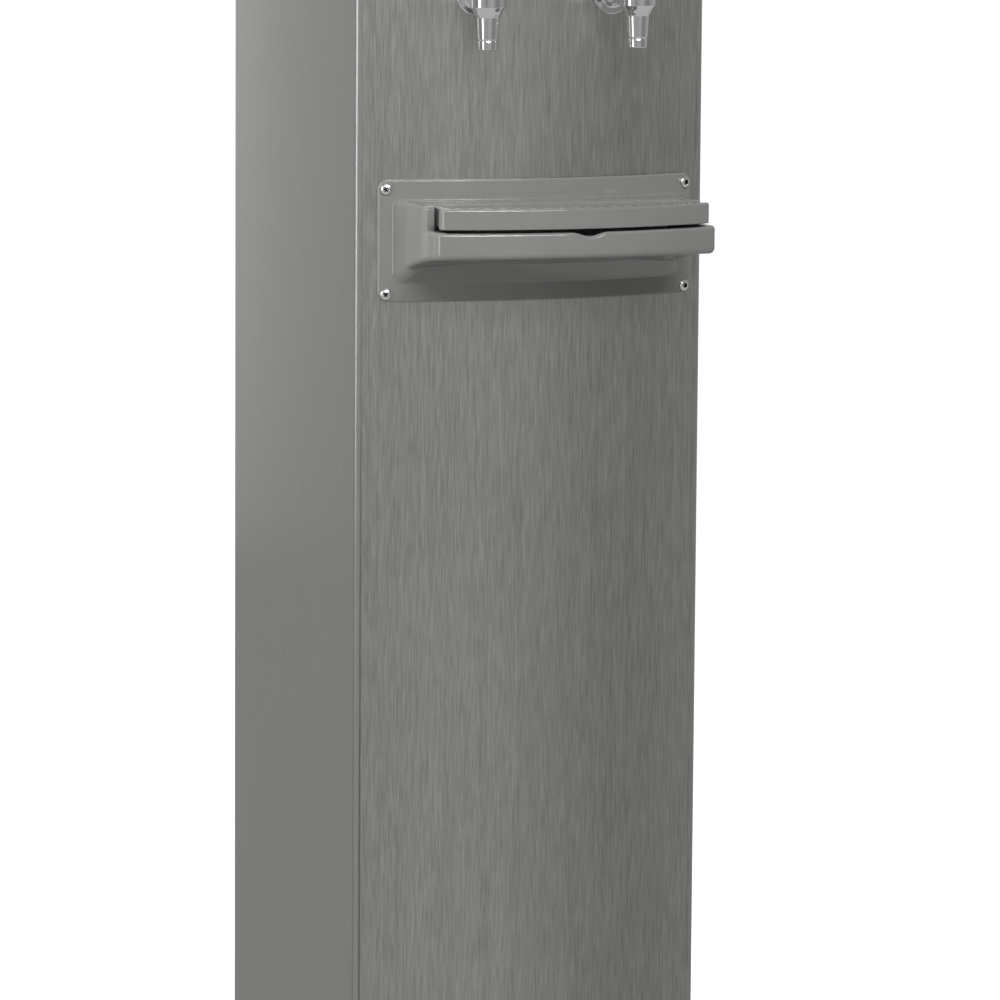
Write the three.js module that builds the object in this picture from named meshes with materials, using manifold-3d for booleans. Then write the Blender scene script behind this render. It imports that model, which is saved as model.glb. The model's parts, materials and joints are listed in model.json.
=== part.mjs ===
// A free-standing drinking water dispenser: a stainless column with a bowed front, two push taps,
// and a moulded drip tray with a lift-up grille. Millimetres, +Z up, the front faces -Y.
import * as THREE from 'three';
import { mergeVertices } from 'three/addons/utils/BufferGeometryUtils.js';
import Module from 'manifold-3d';

const wasm = await Module();
wasm.setup();

// ---- Driving dimensions --------------------------------------------------------------------
const WIDTH = 318; // across the side panels
const DEPTH = 322; // side panel, front corner to rear face
const BOW_RADIUS = 400; // outside of the bowed front panel
const TOP = 1160; // top of the cover
const SHEET = 1.2; // cabinet sheet steel
const GAP = 0.3; // between touching pieces

const FOOT_HEIGHT = 24; // floor to the underside of the base
const BASE_WALL = 30; // height of the base pan's upturned walls
const COVER_HEIGHT = 20; // moulded top cover
const PANEL_TOP = TOP - COVER_HEIGHT - GAP;

const LID_TOP = 850; // drip grille's top surface above the floor
const FLANGE_HALF = 143; // tray flange, half its width
const FLANGE_TOP = LID_TOP + 18;
const FLANGE_BOTTOM = LID_TOP - 86;
const FLANGE_CORNER = 8;
const FLANGE_THICK = 3.5;
const GASKET_THICK = 1;
const SCREW_HALF = 135; // tray screws, half the spacing across
const SCREW_HIGH = LID_TOP + 10;
const SCREW_LOW = LID_TOP - 79.4;

const LIP_REACH = 133.5; // front of the tray ahead of the cabinet's front corners
const LIP_HALF = 126.6; // tray's half width at its front corners
const LIP_BOW = 365; // radius of the tray's bowed front
const LIP_TOP = LID_TOP - 19.5;
const LIP_BOTTOM = LID_TOP - 44;
const TRAY_WALL = 3;
const EAR_FRONT = 80; // tray side walls stand at full height to here
const LID_REAR = 58;
const LID_SKIRT = 17.5;
const LID_HALF = 122; // lid's half width at its front corners
const LID_NECK = 114; // and between the tray's side walls
const LID_SHOULDER = 97; // the lid is at its full width ahead of this depth

const TAP_HALF = 61; // taps, half their spacing
const TAP_HEIGHT = 1025; // tap axis above the floor
const TAP_ARM = 45; // panel to the nozzle's axis
const TAP_TRAVEL = 6;
const TAP_SHANK = 34; // how far the tap's shank reaches behind the panel's face

const TANK = { radius: 74, low: 782, high: 1000, y: 150 };
const FOAM = { radius: 108, low: 750, high: 1030 };
const SHELF_HEIGHT = 744;
const COMPRESSOR = { radius: 68, low: 66, high: 222, y: 190 };

const FITTING_REACH = 20; // fittings behind the rear panel

// ---- Worked out from them ------------------------------------------------------------------
const HALF = WIDTH / 2;
const BOW_AXIS = Math.sqrt(BOW_RADIUS ** 2 - HALF ** 2); // bow centre, behind the front corners
const APEX = BOW_AXIS - BOW_RADIUS; // the panel's foremost line
const FLANGE_BACK = BOW_RADIUS + GASKET_THICK + 2 * GAP;
const FLANGE_FACE = FLANGE_BACK + FLANGE_THICK;
const BOW_STEPS = 132; // facets in a full turn of the bow

// ---- Solids --------------------------------------------------------------------------------
function solid(geometry) {
  const bare = geometry.clone();
  bare.deleteAttribute('normal');
  bare.deleteAttribute('uv');
  const merged = mergeVertices(bare, 1e-4);
  const place = merged.attributes.position.array;
  const index = merged.index.array;
  const faces = [];
  let volume = 0;
  for (let i = 0; i < index.length; i += 3) {
    const [a, b, c] = [index[i], index[i + 1], index[i + 2]];
    if (a === b || b === c || c === a) continue;
    faces.push([a, b, c]);
    const [p, q, r] = [a, b, c].map((k) => new THREE.Vector3().fromArray(place, 3 * k));
    volume += p.dot(q.cross(r));
  }
  const wound = volume < 0 ? faces.map(([a, b, c]) => [a, c, b]) : faces;
  const mesh = new wasm.Mesh({
    numProp: 3,
    vertProperties: new Float32Array(place),
    triVerts: new Uint32Array(wound.flat()),
  });
  return new wasm.Manifold(mesh);
}

function surface(body) {
  const mesh = body.getMesh();
  const geometry = new THREE.BufferGeometry();
  geometry.setAttribute('position', new THREE.BufferAttribute(mesh.vertProperties, 3));
  geometry.setIndex(new THREE.BufferAttribute(mesh.triVerts, 1));
  geometry.computeVertexNormals();
  return geometry;
}

const join = (...bodies) => bodies.reduce((whole, next) => whole.add(next));
const cut = (whole, ...tools) => tools.reduce((rest, tool) => rest.subtract(tool), whole);

function block(x0, x1, y0, y1, z0, z1) {
  const box = new THREE.BoxGeometry(x1 - x0, y1 - y0, z1 - z0);
  return solid(box.translate((x0 + x1) / 2, (y0 + y1) / 2, (z0 + z1) / 2));
}

// A plan outline, drawn in X and Y, standing from z0 to z1.
function standing(shape, z0, z1) {
  const prism = new THREE.ExtrudeGeometry(shape, { depth: z1 - z0, bevelEnabled: false });
  return solid(prism.translate(0, 0, z0));
}

// A front outline, drawn in X and Z, running from y0 back to y1.
function running(shape, y0, y1) {
  const prism = new THREE.ExtrudeGeometry(shape, { depth: y1 - y0, bevelEnabled: false });
  return solid(prism.rotateX(Math.PI / 2).translate(0, y1, 0));
}

// A side outline, drawn in Y and Z, spanning from x0 to x1.
function spanning(shape, x0, x1) {
  const prism = new THREE.ExtrudeGeometry(shape, { depth: x1 - x0, bevelEnabled: false });
  return solid(prism.rotateX(Math.PI / 2).rotateZ(Math.PI / 2).translate(x0, 0, 0));
}

// A profile of radius and height turned about Z.
function turned(profile, steps = 24) {
  const points = profile.map(([r, z]) => new THREE.Vector2(r, z));
  return solid(new THREE.LatheGeometry(points, steps).rotateX(Math.PI / 2));
}

function rod(radius, from, to, steps = 20) {
  const start = new THREE.Vector3(...from);
  const way = new THREE.Vector3(...to).sub(start);
  const round = new THREE.CylinderGeometry(radius, radius, way.length(), steps);
  const turn = new THREE.Quaternion();
  turn.setFromUnitVectors(new THREE.Vector3(0, 1, 0), way.clone().normalize());
  const middle = start.addScaledVector(way, 0.5);
  return solid(round.applyQuaternion(turn).translate(middle.x, middle.y, middle.z));
}

function tube(points, radius, sides = 8, steps = 30) {
  const stations = points.map((p) => new THREE.Vector3(...p));
  const path = new THREE.CatmullRomCurve3(stations, false, 'centripetal');
  const section = new THREE.Shape();
  for (let i = 0; i < sides; i++) {
    const angle = (2 * Math.PI * i) / sides;
    const [x, y] = [radius * Math.cos(angle), radius * Math.sin(angle)];
    if (i === 0) section.moveTo(x, y);
    else section.lineTo(x, y);
  }
  section.closePath();
  return solid(new THREE.ExtrudeGeometry(section, { steps, extrudePath: path }));
}

function outline(points) {
  const shape = new THREE.Shape();
  points.forEach(([x, y], i) => (i === 0 ? shape.moveTo(x, y) : shape.lineTo(x, y)));
  shape.closePath();
  return shape;
}

function roundedBox(x0, x1, y0, y1, radius, steps = 4) {
  const points = [];
  const corners = [[x1, y1, 0], [x0, y1, 1], [x0, y0, 2], [x1, y0, 3]];
  for (const [x, y, quarter] of corners) {
    const centre = [x === x1 ? x - radius : x + radius, y === y1 ? y - radius : y + radius];
    for (let i = 0; i <= steps; i++) {
      const angle = ((quarter + i / steps) * Math.PI) / 2;
      points.push([centre[0] + radius * Math.cos(angle), centre[1] + radius * Math.sin(angle)]);
    }
  }
  return outline(points);
}

// Points of a front arc of radius r about (0, axis), from -half to +half.
function arc(r, axis, half, steps = 18) {
  const reach = Math.asin(half / r);
  return Array.from({ length: steps + 1 }, (_, i) => {
    const angle = -reach + (2 * reach * i) / steps;
    return [r * Math.sin(angle), axis - r * Math.cos(angle)];
  });
}

// ---- The bow -------------------------------------------------------------------------------
// A ring about the bow's vertical axis, between two radii and two heights.
function bowRing(r0, r1, z0, z1) {
  const profile = [[r0, z0], [r1, z0], [r1, z1], [r0, z1], [r0, z0]];
  return turned(profile, BOW_STEPS).translate([0, BOW_AXIS, 0]);
}

function bowCore(r, z0, z1) {
  return turned([[0, z0], [r, z0], [r, z1], [0, z1]], BOW_STEPS).translate([0, BOW_AXIS, 0]);
}

const bowAngle = (x) => Math.asin(x / BOW_RADIUS);

// Moves a solid made about the origin, with -Y outward, to a point on the bow.
function onBow(body, x, z) {
  const angle = bowAngle(x);
  const turn = body.rotate([0, 0, THREE.MathUtils.radToDeg(angle)]);
  return turn.translate([x, BOW_AXIS - BOW_RADIUS * Math.cos(angle), z]);
}

const bowHole = (r, x, z, steps = 16) => onBow(rod(r, [0, -12, 0], [0, 12, 0], steps), x, z);

// ---- Materials and the group ---------------------------------------------------------------
function finish(color, roughness, metalness) {
  return { color, roughness, metalness };
}

const BRUSHED = finish(0x8f8e8a, 0.34, 1);
const GREY_PLASTIC = finish(0x8b8b88, 0.3, 0);
const DARK_PLASTIC = finish(0x2c2d2f, 0.45, 0);
const BRIGHT_STEEL = finish(0xd2d3d4, 0.16, 1);
const CHROME = finish(0xd9dadb, 0.08, 1);
const ZINC = finish(0xa4a8aa, 0.42, 1);
const BLACK_PAINT = finish(0x17181a, 0.4, 0.2);
const COPPER = finish(0xb4693f, 0.32, 1);
const FOAM_BLACK = finish(0x232425, 0.92, 0);
const RUBBER = finish(0x1c1d1e, 0.8, 0);
const HOSE = finish(0xbfc4c2, 0.38, 0);
const BLUE_TUBE = finish(0x3d6fa8, 0.36, 0);

const dispenser = new THREE.Group();

function piece(name, body, look) {
  const mesh = new THREE.Mesh(surface(body), new THREE.MeshStandardMaterial(look));
  mesh.name = name;
  dispenser.add(mesh);
}

// ---- Cabinet -------------------------------------------------------------------------------
const TRAY_SCREWS = [
  ['upper_left', -SCREW_HALF, SCREW_HIGH],
  ['upper_right', SCREW_HALF, SCREW_HIGH],
  ['lower_left', -SCREW_HALF, SCREW_LOW],
  ['lower_right', SCREW_HALF, SCREW_LOW],
];
const SCREW_HOLE = 2.9;
const SPIGOT = { radius: 9, bore: 6.5, z: LID_TOP - 52, hole: 9.6, reach: 26 };
const TAP_HOLE = 8.6;
const PANEL_LOW = FOOT_HEIGHT + 2;
const REVEAL = 6; // side panel edge to the front panel's edge

function frontPanel() {
  const sheet = bowRing(BOW_RADIUS - SHEET, BOW_RADIUS, PANEL_LOW, PANEL_TOP);
  const trimmed = sheet.intersect(block(-HALF + REVEAL, HALF - REVEAL, APEX - 5, 20, 0, TOP));
  const holes = TRAY_SCREWS.map(([, x, z]) => bowHole(SCREW_HOLE, x, z));
  const taps = [-TAP_HALF, TAP_HALF].map((x) => bowHole(TAP_HOLE, x, TAP_HEIGHT, 20));
  return cut(trimmed, ...holes, ...taps, bowHole(SPIGOT.hole, 0, SPIGOT.z, 20));
}

// One side panel: a sheet with a rolled front corner and inward returns front and rear.
function sidePanel(side) {
  const BEND = 4;
  const FRONT_RETURN = 16;
  const REAR_RETURN = 14;
  const bend = (r, cx, cy) =>
    Array.from({ length: 5 }, (_, i) => {
      const angle = Math.PI + (i * Math.PI) / 8;
      return [cx + r * Math.cos(angle), cy + r * Math.sin(angle)];
    });
  const outer = bend(BEND, -HALF + BEND, BEND);
  const inner = bend(BEND - SHEET, -HALF + BEND, BEND).reverse();
  const points = [
    [-HALF, DEPTH],
    ...outer,
    [-HALF + FRONT_RETURN, 0],
    [-HALF + FRONT_RETURN, SHEET],
    ...inner,
    [-HALF + SHEET, DEPTH - SHEET],
    [-HALF + REAR_RETURN, DEPTH - SHEET],
    [-HALF + REAR_RETURN, DEPTH],
  ];
  return standing(outline(points.map(([x, y]) => [-side * x, y])), PANEL_LOW, PANEL_TOP);
}

// Two blocks of ventilation slots, each two slots wide.
const VENT = { lows: [130, 470], rows: 7, pitch: 16, x: 62, half: 42, tall: 5 };

function rearPanel() {
  const half = HALF - SHEET - GAP;
  const y1 = DEPTH - SHEET - GAP;
  const sheet = block(-half, half, y1 - SHEET, y1, PANEL_LOW, PANEL_TOP);
  const vents = [];
  for (const low of VENT.lows) {
    for (let row = 0; row < VENT.rows; row++) {
      for (const x of [-VENT.x, VENT.x]) {
        const z = low + row * VENT.pitch;
        vents.push(block(x - VENT.half, x + VENT.half, y1 - 4, y1 + 4, z, z + VENT.tall));
      }
    }
  }
  const holes = REAR_HOLES.map(([x, z, r]) => rod(r, [x, y1 - 5, z], [x, y1 + 5, z]));
  return cut(sheet, ...vents, ...holes, POWER_HOLE);
}

// The cabinet's plan outline, drawn in by a margin.
function planOutline(margin, rearMargin = margin) {
  const half = HALF - margin;
  const front = arc(BOW_RADIUS - margin, BOW_AXIS, half - 3);
  const rear = DEPTH - rearMargin;
  return outline([...front, [half, 4], [half, rear], [-half, rear], [-half, 4]]);
}

const FEET = [
  ['front_left', -120, 40],
  ['front_right', 120, 40],
  ['rear_left', -120, DEPTH - 40],
  ['rear_right', 120, DEPTH - 40],
];

function basePan() {
  const MARGIN = 2;
  const REAR_MARGIN = 2 * (SHEET + GAP) + GAP;
  const PLATE = 2;
  const low = FOOT_HEIGHT;
  const high = low + BASE_WALL;
  const pan = standing(planOutline(MARGIN, REAR_MARGIN), low, high);
  const hollow = standing(planOutline(MARGIN + PLATE, REAR_MARGIN + PLATE), low + PLATE, high + 1);
  const corners = [-1, 1].map((side) => {
    const [near, far] = [side * (HALF - 18), side * (HALF + 1)].sort((a, b) => a - b);
    return block(near, far, -9, SHEET + GAP, low - 1, high + 1);
  });
  const holes = FEET.map(([, x, y]) => rod(5.4, [x, y, low - 1], [x, y, low + 4], 16));
  return cut(pan, hollow, ...corners, ...holes);
}

function foot(x, y) {
  const profile = [
    [0, 0], [17, 0], [19, 2], [19, 6], [10, 11], [10, FOOT_HEIGHT - GAP],
    [4.9, FOOT_HEIGHT - GAP], [4.9, FOOT_HEIGHT + 16], [0, FOOT_HEIGHT + 16],
  ];
  return turned(profile, 16).translate([x, y, 0]);
}

function topCover() {
  const RIM = 3;
  const low = TOP - COVER_HEIGHT;
  const cap = standing(planOutline(0), low, TOP - 2.5);
  const crown = standing(planOutline(2.5), TOP - 2.5, TOP);
  const hollow = standing(planOutline(RIM + 3), low - 1, TOP - RIM);
  return cut(join(cap, crown), hollow);
}

function shelf() {
  const half = HALF - SHEET - GAP;
  const y0 = 34;
  const y1 = DEPTH - 8;
  const tray = block(-half, half, y0, y1, SHELF_HEIGHT - 20, SHELF_HEIGHT);
  const hollow = block(-half + 2, half - 2, y0 - 1, y1 + 1, SHELF_HEIGHT - 21, SHELF_HEIGHT - 2);
  const pipes = [[0, TANK.y, 9], [60, 277, 8]];
  const holes = pipes.map(([x, y, r]) => rod(r, [x, y, SHELF_HEIGHT - 5], [x, y, SHELF_HEIGHT + 5]));
  return cut(tray, hollow, ...holes);
}

// ---- Drip tray -----------------------------------------------------------------------------
const PLINTH = 8.6; // ramp around the tray's foot
const FLOOR_REAR = LID_TOP - 59.5; // underside where it meets the ramp
const SIDE_REAR = 123.4; // half width where the sides meet the ramp
const CORNER_DEPTH = 24.5; // how far ahead of the cabinet's corners that is
const LIP_CORNER = 6;
const HINGE = { y: -(LID_REAR + 3), z: LID_TOP - 3, pin: 1.8, socket: 2.2, reach: 2.6 };
const NOTCH = { width: 28, depth: 8, x: 2 };

// Front face of the lip, or of a face set back from it.
function frontDepth(x, setback = 0) {
  return LIP_REACH - setback - (LIP_BOW - Math.sqrt(LIP_BOW ** 2 - x ** 2));
}

// Plan of the tray's body, or of its inside when drawn in by a margin.
function trayPlan(margin, rear) {
  const half = LIP_HALF - margin;
  const radius = Math.max(LIP_CORNER - margin, 2);
  const front = [];
  const STEPS = 14;
  for (let i = 0; i <= STEPS; i++) {
    const x = -(half - radius) + (2 * (half - radius) * i) / STEPS;
    front.push([x, -frontDepth(x, margin)]);
  }
  const cornerY = -frontDepth(half - radius, margin);
  const corner = [0.34, 0.66, 0.87].map((t) => {
    const angle = (t * Math.PI) / 2;
    return [half - radius + radius * Math.sin(angle), cornerY + radius - radius * Math.cos(angle)];
  });
  const side = SIDE_REAR - margin;
  const right = [...corner, [half, cornerY + radius], [side, -CORNER_DEPTH], [side, rear]];
  const left = right.map(([x, y]) => [-x, y]).reverse();
  return outline([...left, ...front, ...right]);
}

// Side view of the tray's body: full height back to the ears' fronts, then down to the lip.
function trayProfile(top, lipTop, lift) {
  const slope = (LIP_BOTTOM - FLOOR_REAR) / (LIP_REACH - CORNER_DEPTH);
  const under = (depth) => FLOOR_REAR + slope * (depth - CORNER_DEPTH) + lift;
  return outline([
    [20, top], [-EAR_FRONT, top], [-EAR_FRONT, lipTop], [-150, lipTop], [-150, under(150)], [20, under(-20)],
  ]);
}

// The ramp that grows out of the flange around the tray's sides and bottom.
function trayPlinth() {
  const RISE = 8.1;
  const low = FLOOR_REAR - RISE;
  const top = LID_TOP;
  const out = FLANGE_FACE + PLINTH;
  const profile = [
    [FLANGE_BACK, low], [FLANGE_FACE, low], [out, low + RISE], [out, top],
    [FLANGE_BACK, top], [FLANGE_BACK, low],
  ];
  const ring = turned(profile, BOW_STEPS).translate([0, BOW_AXIS, 0]);
  const foot = SIDE_REAR + PLINTH;
  const wedge = outline([
    [-foot, 30], [-foot, -15], [-SIDE_REAR, -CORNER_DEPTH - 1], [-SIDE_REAR, -60],
    [SIDE_REAR, -60], [SIDE_REAR, -CORNER_DEPTH - 1], [foot, -15], [foot, 30],
  ]);
  return ring.intersect(standing(wedge, low - 1, top + 1));
}

function dripTray() {
  const flange = bowRing(FLANGE_BACK, FLANGE_FACE, FLANGE_BOTTOM, FLANGE_TOP).intersect(
    running(roundedBox(-FLANGE_HALF, FLANGE_HALF, FLANGE_BOTTOM, FLANGE_TOP, FLANGE_CORNER), -60, 20),
  );
  const body = standing(trayPlan(0, 20), FLANGE_BOTTOM, LID_TOP)
    .intersect(spanning(trayProfile(LID_TOP, LIP_TOP, 0), -HALF, HALF))
    .subtract(bowCore(FLANGE_BACK, FLANGE_BOTTOM - 1, FLANGE_TOP + 1));
  const ceiling = LID_TOP - TRAY_WALL;
  const basin = standing(trayPlan(TRAY_WALL, 20), FLANGE_BOTTOM, ceiling)
    .intersect(spanning(trayProfile(ceiling, ceiling, TRAY_WALL), -HALF, HALF))
    .subtract(bowCore(FLANGE_FACE, FLANGE_BOTTOM - 1, FLANGE_TOP + 1));
  const ears = [-1, 1].map((side) => {
    const [inner, outer] = [LID_NECK + HINGE.reach, SIDE_REAR + 1];
    const low = LID_TOP - LID_SKIRT - 4;
    const [x0, x1] = [side * inner, side * outer];
    const wall = [[x0, -40], [x0, -EAR_FRONT], [x1, -EAR_FRONT], [x1, -40]];
    return standing(outline(wall), low, LID_TOP);
  });
  const [halfMouth, mouthRear] = [LID_NECK + HINGE.reach, LID_REAR - 2];
  const mouth = block(-halfMouth, halfMouth, -150, -mouthRear, LIP_TOP, LID_TOP + 5);
  const sockets = [-1, 1].map((side) => {
    const [near, far] = [side * (halfMouth - 1), side * (halfMouth + 3.4)];
    return rod(HINGE.socket, [near, HINGE.y, HINGE.z], [far, HINGE.y, HINGE.z], 14);
  });
  const notchRadius = (NOTCH.width ** 2 / 4 + NOTCH.depth ** 2) / (2 * NOTCH.depth);
  const notchZ = LIP_TOP - NOTCH.depth + notchRadius;
  const notch = rod(notchRadius, [NOTCH.x, -150, notchZ], [NOTCH.x, -LIP_REACH + TRAY_WALL + 3, notchZ], 36);
  const spigot = rod(SPIGOT.radius, [0, APEX - 4, SPIGOT.z], [0, APEX + SPIGOT.reach, SPIGOT.z]);
  const bore = rod(SPIGOT.bore, [0, APEX - 12, SPIGOT.z], [0, APEX + SPIGOT.reach + 1, SPIGOT.z]);
  const holes = TRAY_SCREWS.map(([, x, z]) => bowHole(SCREW_HOLE, x, z));
  const shell = join(flange, cut(join(trayPlinth(), body), basin), ...ears, spigot);
  return cut(shell, mouth, ...sockets, notch, bore, ...holes);
}

function gasket() {
  const ring = bowRing(BOW_RADIUS + GAP, BOW_RADIUS + GAP + GASKET_THICK, FLANGE_BOTTOM + 2, FLANGE_TOP - 2);
  const edge = FLANGE_HALF - 2;
  const plate = ring.intersect(
    running(roundedBox(-edge, edge, FLANGE_BOTTOM + 2, FLANGE_TOP - 2, FLANGE_CORNER - 2), -60, 20),
  );
  const window = block(-118, 118, -80, 20, FLANGE_BOTTOM + 16, FLANGE_TOP - 16);
  return cut(plate, window, ...TRAY_SCREWS.map(([, x, z]) => bowHole(SCREW_HOLE, x, z)));
}

// The grille: a slotted plate with a skirt around it, hung on two moulded pins at its rear corners.
function dripGrille() {
  const SETBACK = 4;
  const PLATE = 2.6;
  const WALL = 2.4;
  const plan = (margin) => {
    const [half, neck] = [LID_HALF - margin, LID_NECK - margin];
    const radius = LIP_CORNER - margin / 2;
    const front = [];
    const STEPS = 14;
    for (let i = 0; i <= STEPS; i++) {
      const x = -(half - radius) + (2 * (half - radius) * i) / STEPS;
      front.push([x, -frontDepth(x, SETBACK + margin)]);
    }
    const cornerY = -frontDepth(half - radius, SETBACK + margin);
    const right = [0.34, 0.66, 0.87].map((t) => {
      const angle = (t * Math.PI) / 2;
      return [half - radius + radius * Math.sin(angle), cornerY + radius - radius * Math.cos(angle)];
    });
    right.push([half, cornerY + radius], [half, -LID_SHOULDER]);
    right.push([neck, -LID_SHOULDER + 2], [neck, -LID_REAR - 3]);
    return outline([...right.map(([x, y]) => [-x, y]).reverse(), ...front, ...right]);
  };
  const cap = standing(plan(0), LID_TOP - LID_SKIRT, LID_TOP);
  const hollow = standing(plan(WALL), LID_TOP - LID_SKIRT - 1, LID_TOP - PLATE);
  const barrel = rod(3, [-LID_NECK, HINGE.y, HINGE.z], [LID_NECK, HINGE.y, HINGE.z], 16);
  const pinEnd = LID_NECK + HINGE.reach + 2.6;
  const pins = rod(HINGE.pin, [-pinEnd, HINGE.y, HINGE.z], [pinEnd, HINGE.y, HINGE.z], 14);
  const slots = [];
  const [COUNT, PITCH, HALF_SLOT] = [17, 12.4, 2.2];
  const [AHEAD, BEHIND] = [14, 36]; // the slots' ends, behind the tray's front
  for (let i = 0; i < COUNT; i++) {
    const x = (i - (COUNT - 1) / 2) * PITCH;
    const [y0, y1] = [-frontDepth(x, AHEAD), -frontDepth(x, BEHIND)];
    slots.push(block(x - HALF_SLOT, x + HALF_SLOT, y0, y1, LID_TOP - 6, LID_TOP + 2));
  }
  return join(cut(cap, hollow, ...slots), barrel, pins);
}

// Pan head screw with a six-lobe recess, drawn about its axis and pointing outward.
function trayScrew(x, z) {
  const [HEAD, RISE, SHANK] = [4.9, 3.1, 2.4];
  const seat = FLANGE_FACE - BOW_RADIUS + GAP;
  const profile = [
    [0, -12], [SHANK, -12], [SHANK, seat], [HEAD, seat], [HEAD, seat + 1],
    [4.3, seat + 2], [3, seat + 2.8], [0, seat + RISE],
  ];
  const recess = rod(1.9, [0, 0, seat + 1.1], [0, 0, seat + RISE + 1], 6);
  const upright = cut(turned(profile, 14), recess);
  return onBow(upright.rotate([90, 0, 0]), x, z);
}

function weldNut(x, z) {
  const face = SHEET + GAP;
  const nut = cut(rod(4.6, [0, face, 0], [0, face + 4, 0], 6), rod(2.7, [0, 0, 0], [0, 12, 0], 12));
  return onBow(nut, x, z);
}

// ---- Taps ----------------------------------------------------------------------------------
const TAP = { chamber: 10, floor: -8, rim: 18, nozzle: -45, stem: 9.3, stemLow: 4 };

function tapBody(x) {
  const arm = -TAP_ARM;
  const plate = rod(19, [0, -GAP, 0], [0, -GAP - 4, 0], 24);
  const shank = rod(8, [0, -2, 0], [0, TAP_SHANK, 0], 16);
  const barrel = rod(12, [0, -3, 0], [0, arm, 0], 18);
  const column = turned([[0, -16], [10, -16], [15, -11], [15, 16], [13.6, TAP.rim], [0, TAP.rim]], 20);
  const spout = turned([[0, TAP.nozzle], [7.4, TAP.nozzle], [8, TAP.nozzle + 1], [10, -14], [0, -14]], 16);
  const chamber = rod(TAP.chamber, [0, arm, TAP.floor], [0, arm, TAP.rim + 1], 20);
  const waterway = rod(4, [0, TAP_SHANK + 1, 0], [0, arm, 0], 10);
  const mouth = rod(4.8, [0, arm, TAP.nozzle - 1], [0, arm, TAP.floor + 1], 12);
  const upright = join(column, spout).translate([0, arm, 0]);
  return onBow(cut(join(plate, shank, barrel, upright), chamber, waterway, mouth), x, TAP_HEIGHT);
}

function tapNut(x) {
  const face = SHEET + 3 * GAP;
  const nut = cut(rod(15, [0, face, 0], [0, face + 8, 0], 6), rod(8.6, [0, 0, 0], [0, 20, 0], 16));
  return onBow(nut, x, TAP_HEIGHT);
}

function tapButton(x) {
  const head = TAP.rim + TAP_TRAVEL + 0.6;
  const profile = [
    [0, TAP.stemLow], [TAP.stem, TAP.stemLow], [TAP.stem, head], [13.5, head], [13.5, head + 5],
    [12, head + 7], [8, head + 8], [0, head + 8],
  ];
  return onBow(turned(profile, 20).translate([0, -TAP_ARM, 0]), x, TAP_HEIGHT);
}

function tapSpring(x) {
  const [WIRE, COIL, TURNS, STEPS] = [0.7, 7, 3, 10];
  const low = TAP.floor + GAP + WIRE;
  const high = TAP.stemLow - GAP - WIRE;
  const points = [];
  for (let i = 0; i <= TURNS * STEPS; i++) {
    const angle = (2 * Math.PI * i) / STEPS;
    const z = low + ((high - low) * i) / (TURNS * STEPS);
    points.push([COIL * Math.cos(angle), -TAP_ARM + COIL * Math.sin(angle), z]);
  }
  return onBow(tube(points, WIRE, 5, TURNS * STEPS), x, TAP_HEIGHT);
}

// ---- Cold water ----------------------------------------------------------------------------
const TANK_PORT = 34; // half the spacing of the tank's outlets

function coldTank() {
  const { radius, low, high } = TANK;
  const [WALL, SHOULDER] = [1.5, 12];
  const middle = (low + high) / 2;
  const skin = [
    [0, low], [radius - SHOULDER, low], [radius, low + SHOULDER],
    [radius, high - SHOULDER], [radius - SHOULDER, high], [0, high],
  ];
  const inside = skin.map(([r, z]) => [Math.max(r - WALL, 0), z + (z < middle ? WALL : -WALL)]);
  const outlets = [-TANK_PORT, TANK_PORT].map((x) => [x, high - 1, FOAM.high + 6]);
  const ports = [...outlets, [0, SHELF_HEIGHT - 12, low + 1]];
  const stems = ports.map(([x, z0, z1]) => rod(5, [x, 0, z0], [x, 0, z1], 10));
  const bores = ports.map(([x, z0, z1]) => rod(3.4, [x, 0, z0 - 3], [x, 0, z1 + 3], 8));
  return cut(join(turned(skin, 20), ...stems), turned(inside, 20), ...bores).translate([0, TANK.y, 0]);
}

// The evaporator: tube soldered round the tank, drawn as one ribbed sleeve.
function evaporator() {
  const [INNER, TURNS, PITCH, TUBE] = [TANK.radius + GAP, 5, 20, 8];
  const low = TANK.low + 50;
  const profile = [[INNER, low]];
  for (let i = 0; i < TURNS; i++) {
    const z = low + i * PITCH;
    profile.push([INNER + 1, z + 4], [INNER + TUBE, z + 7], [INNER + TUBE, z + 13], [INNER + 1, z + 16]);
  }
  profile.push([INNER, low + TURNS * PITCH], [INNER, low]);
  return turned(profile, 20).translate([0, TANK.y, 0]);
}

// Foam jacket in two halves, so that it can be put round the tank.
function foamHalf(side) {
  const { radius, low, high } = FOAM;
  const inner = TANK.radius + 10;
  const jacket = turned([[0, low], [radius, low], [radius, high], [0, high]], 28);
  const [floor, roof] = [TANK.low - 2, TANK.high + 2];
  const hollow = turned([[0, floor], [inner, floor], [inner, roof], [0, roof]], 20);
  const ports = [-TANK_PORT, 0, TANK_PORT].map((x) => rod(5.8, [x, 0, low - 1], [x, 0, high + 1], 10));
  const keep = side < 0 ? block(-200, 200, -200, -GAP / 2, 0, TOP) : block(-200, 200, GAP / 2, 200, 0, TOP);
  return cut(jacket, hollow, ...ports, SUCTION_WAY).intersect(keep).translate([0, TANK.y, 0]);
}

// The way that the refrigerant pipes take through the rear half of the foam.
const SUCTION_WAY = rod(7, [60, 0, TANK.low + 30], [60, 130, TANK.low + 30], 14);

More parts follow.
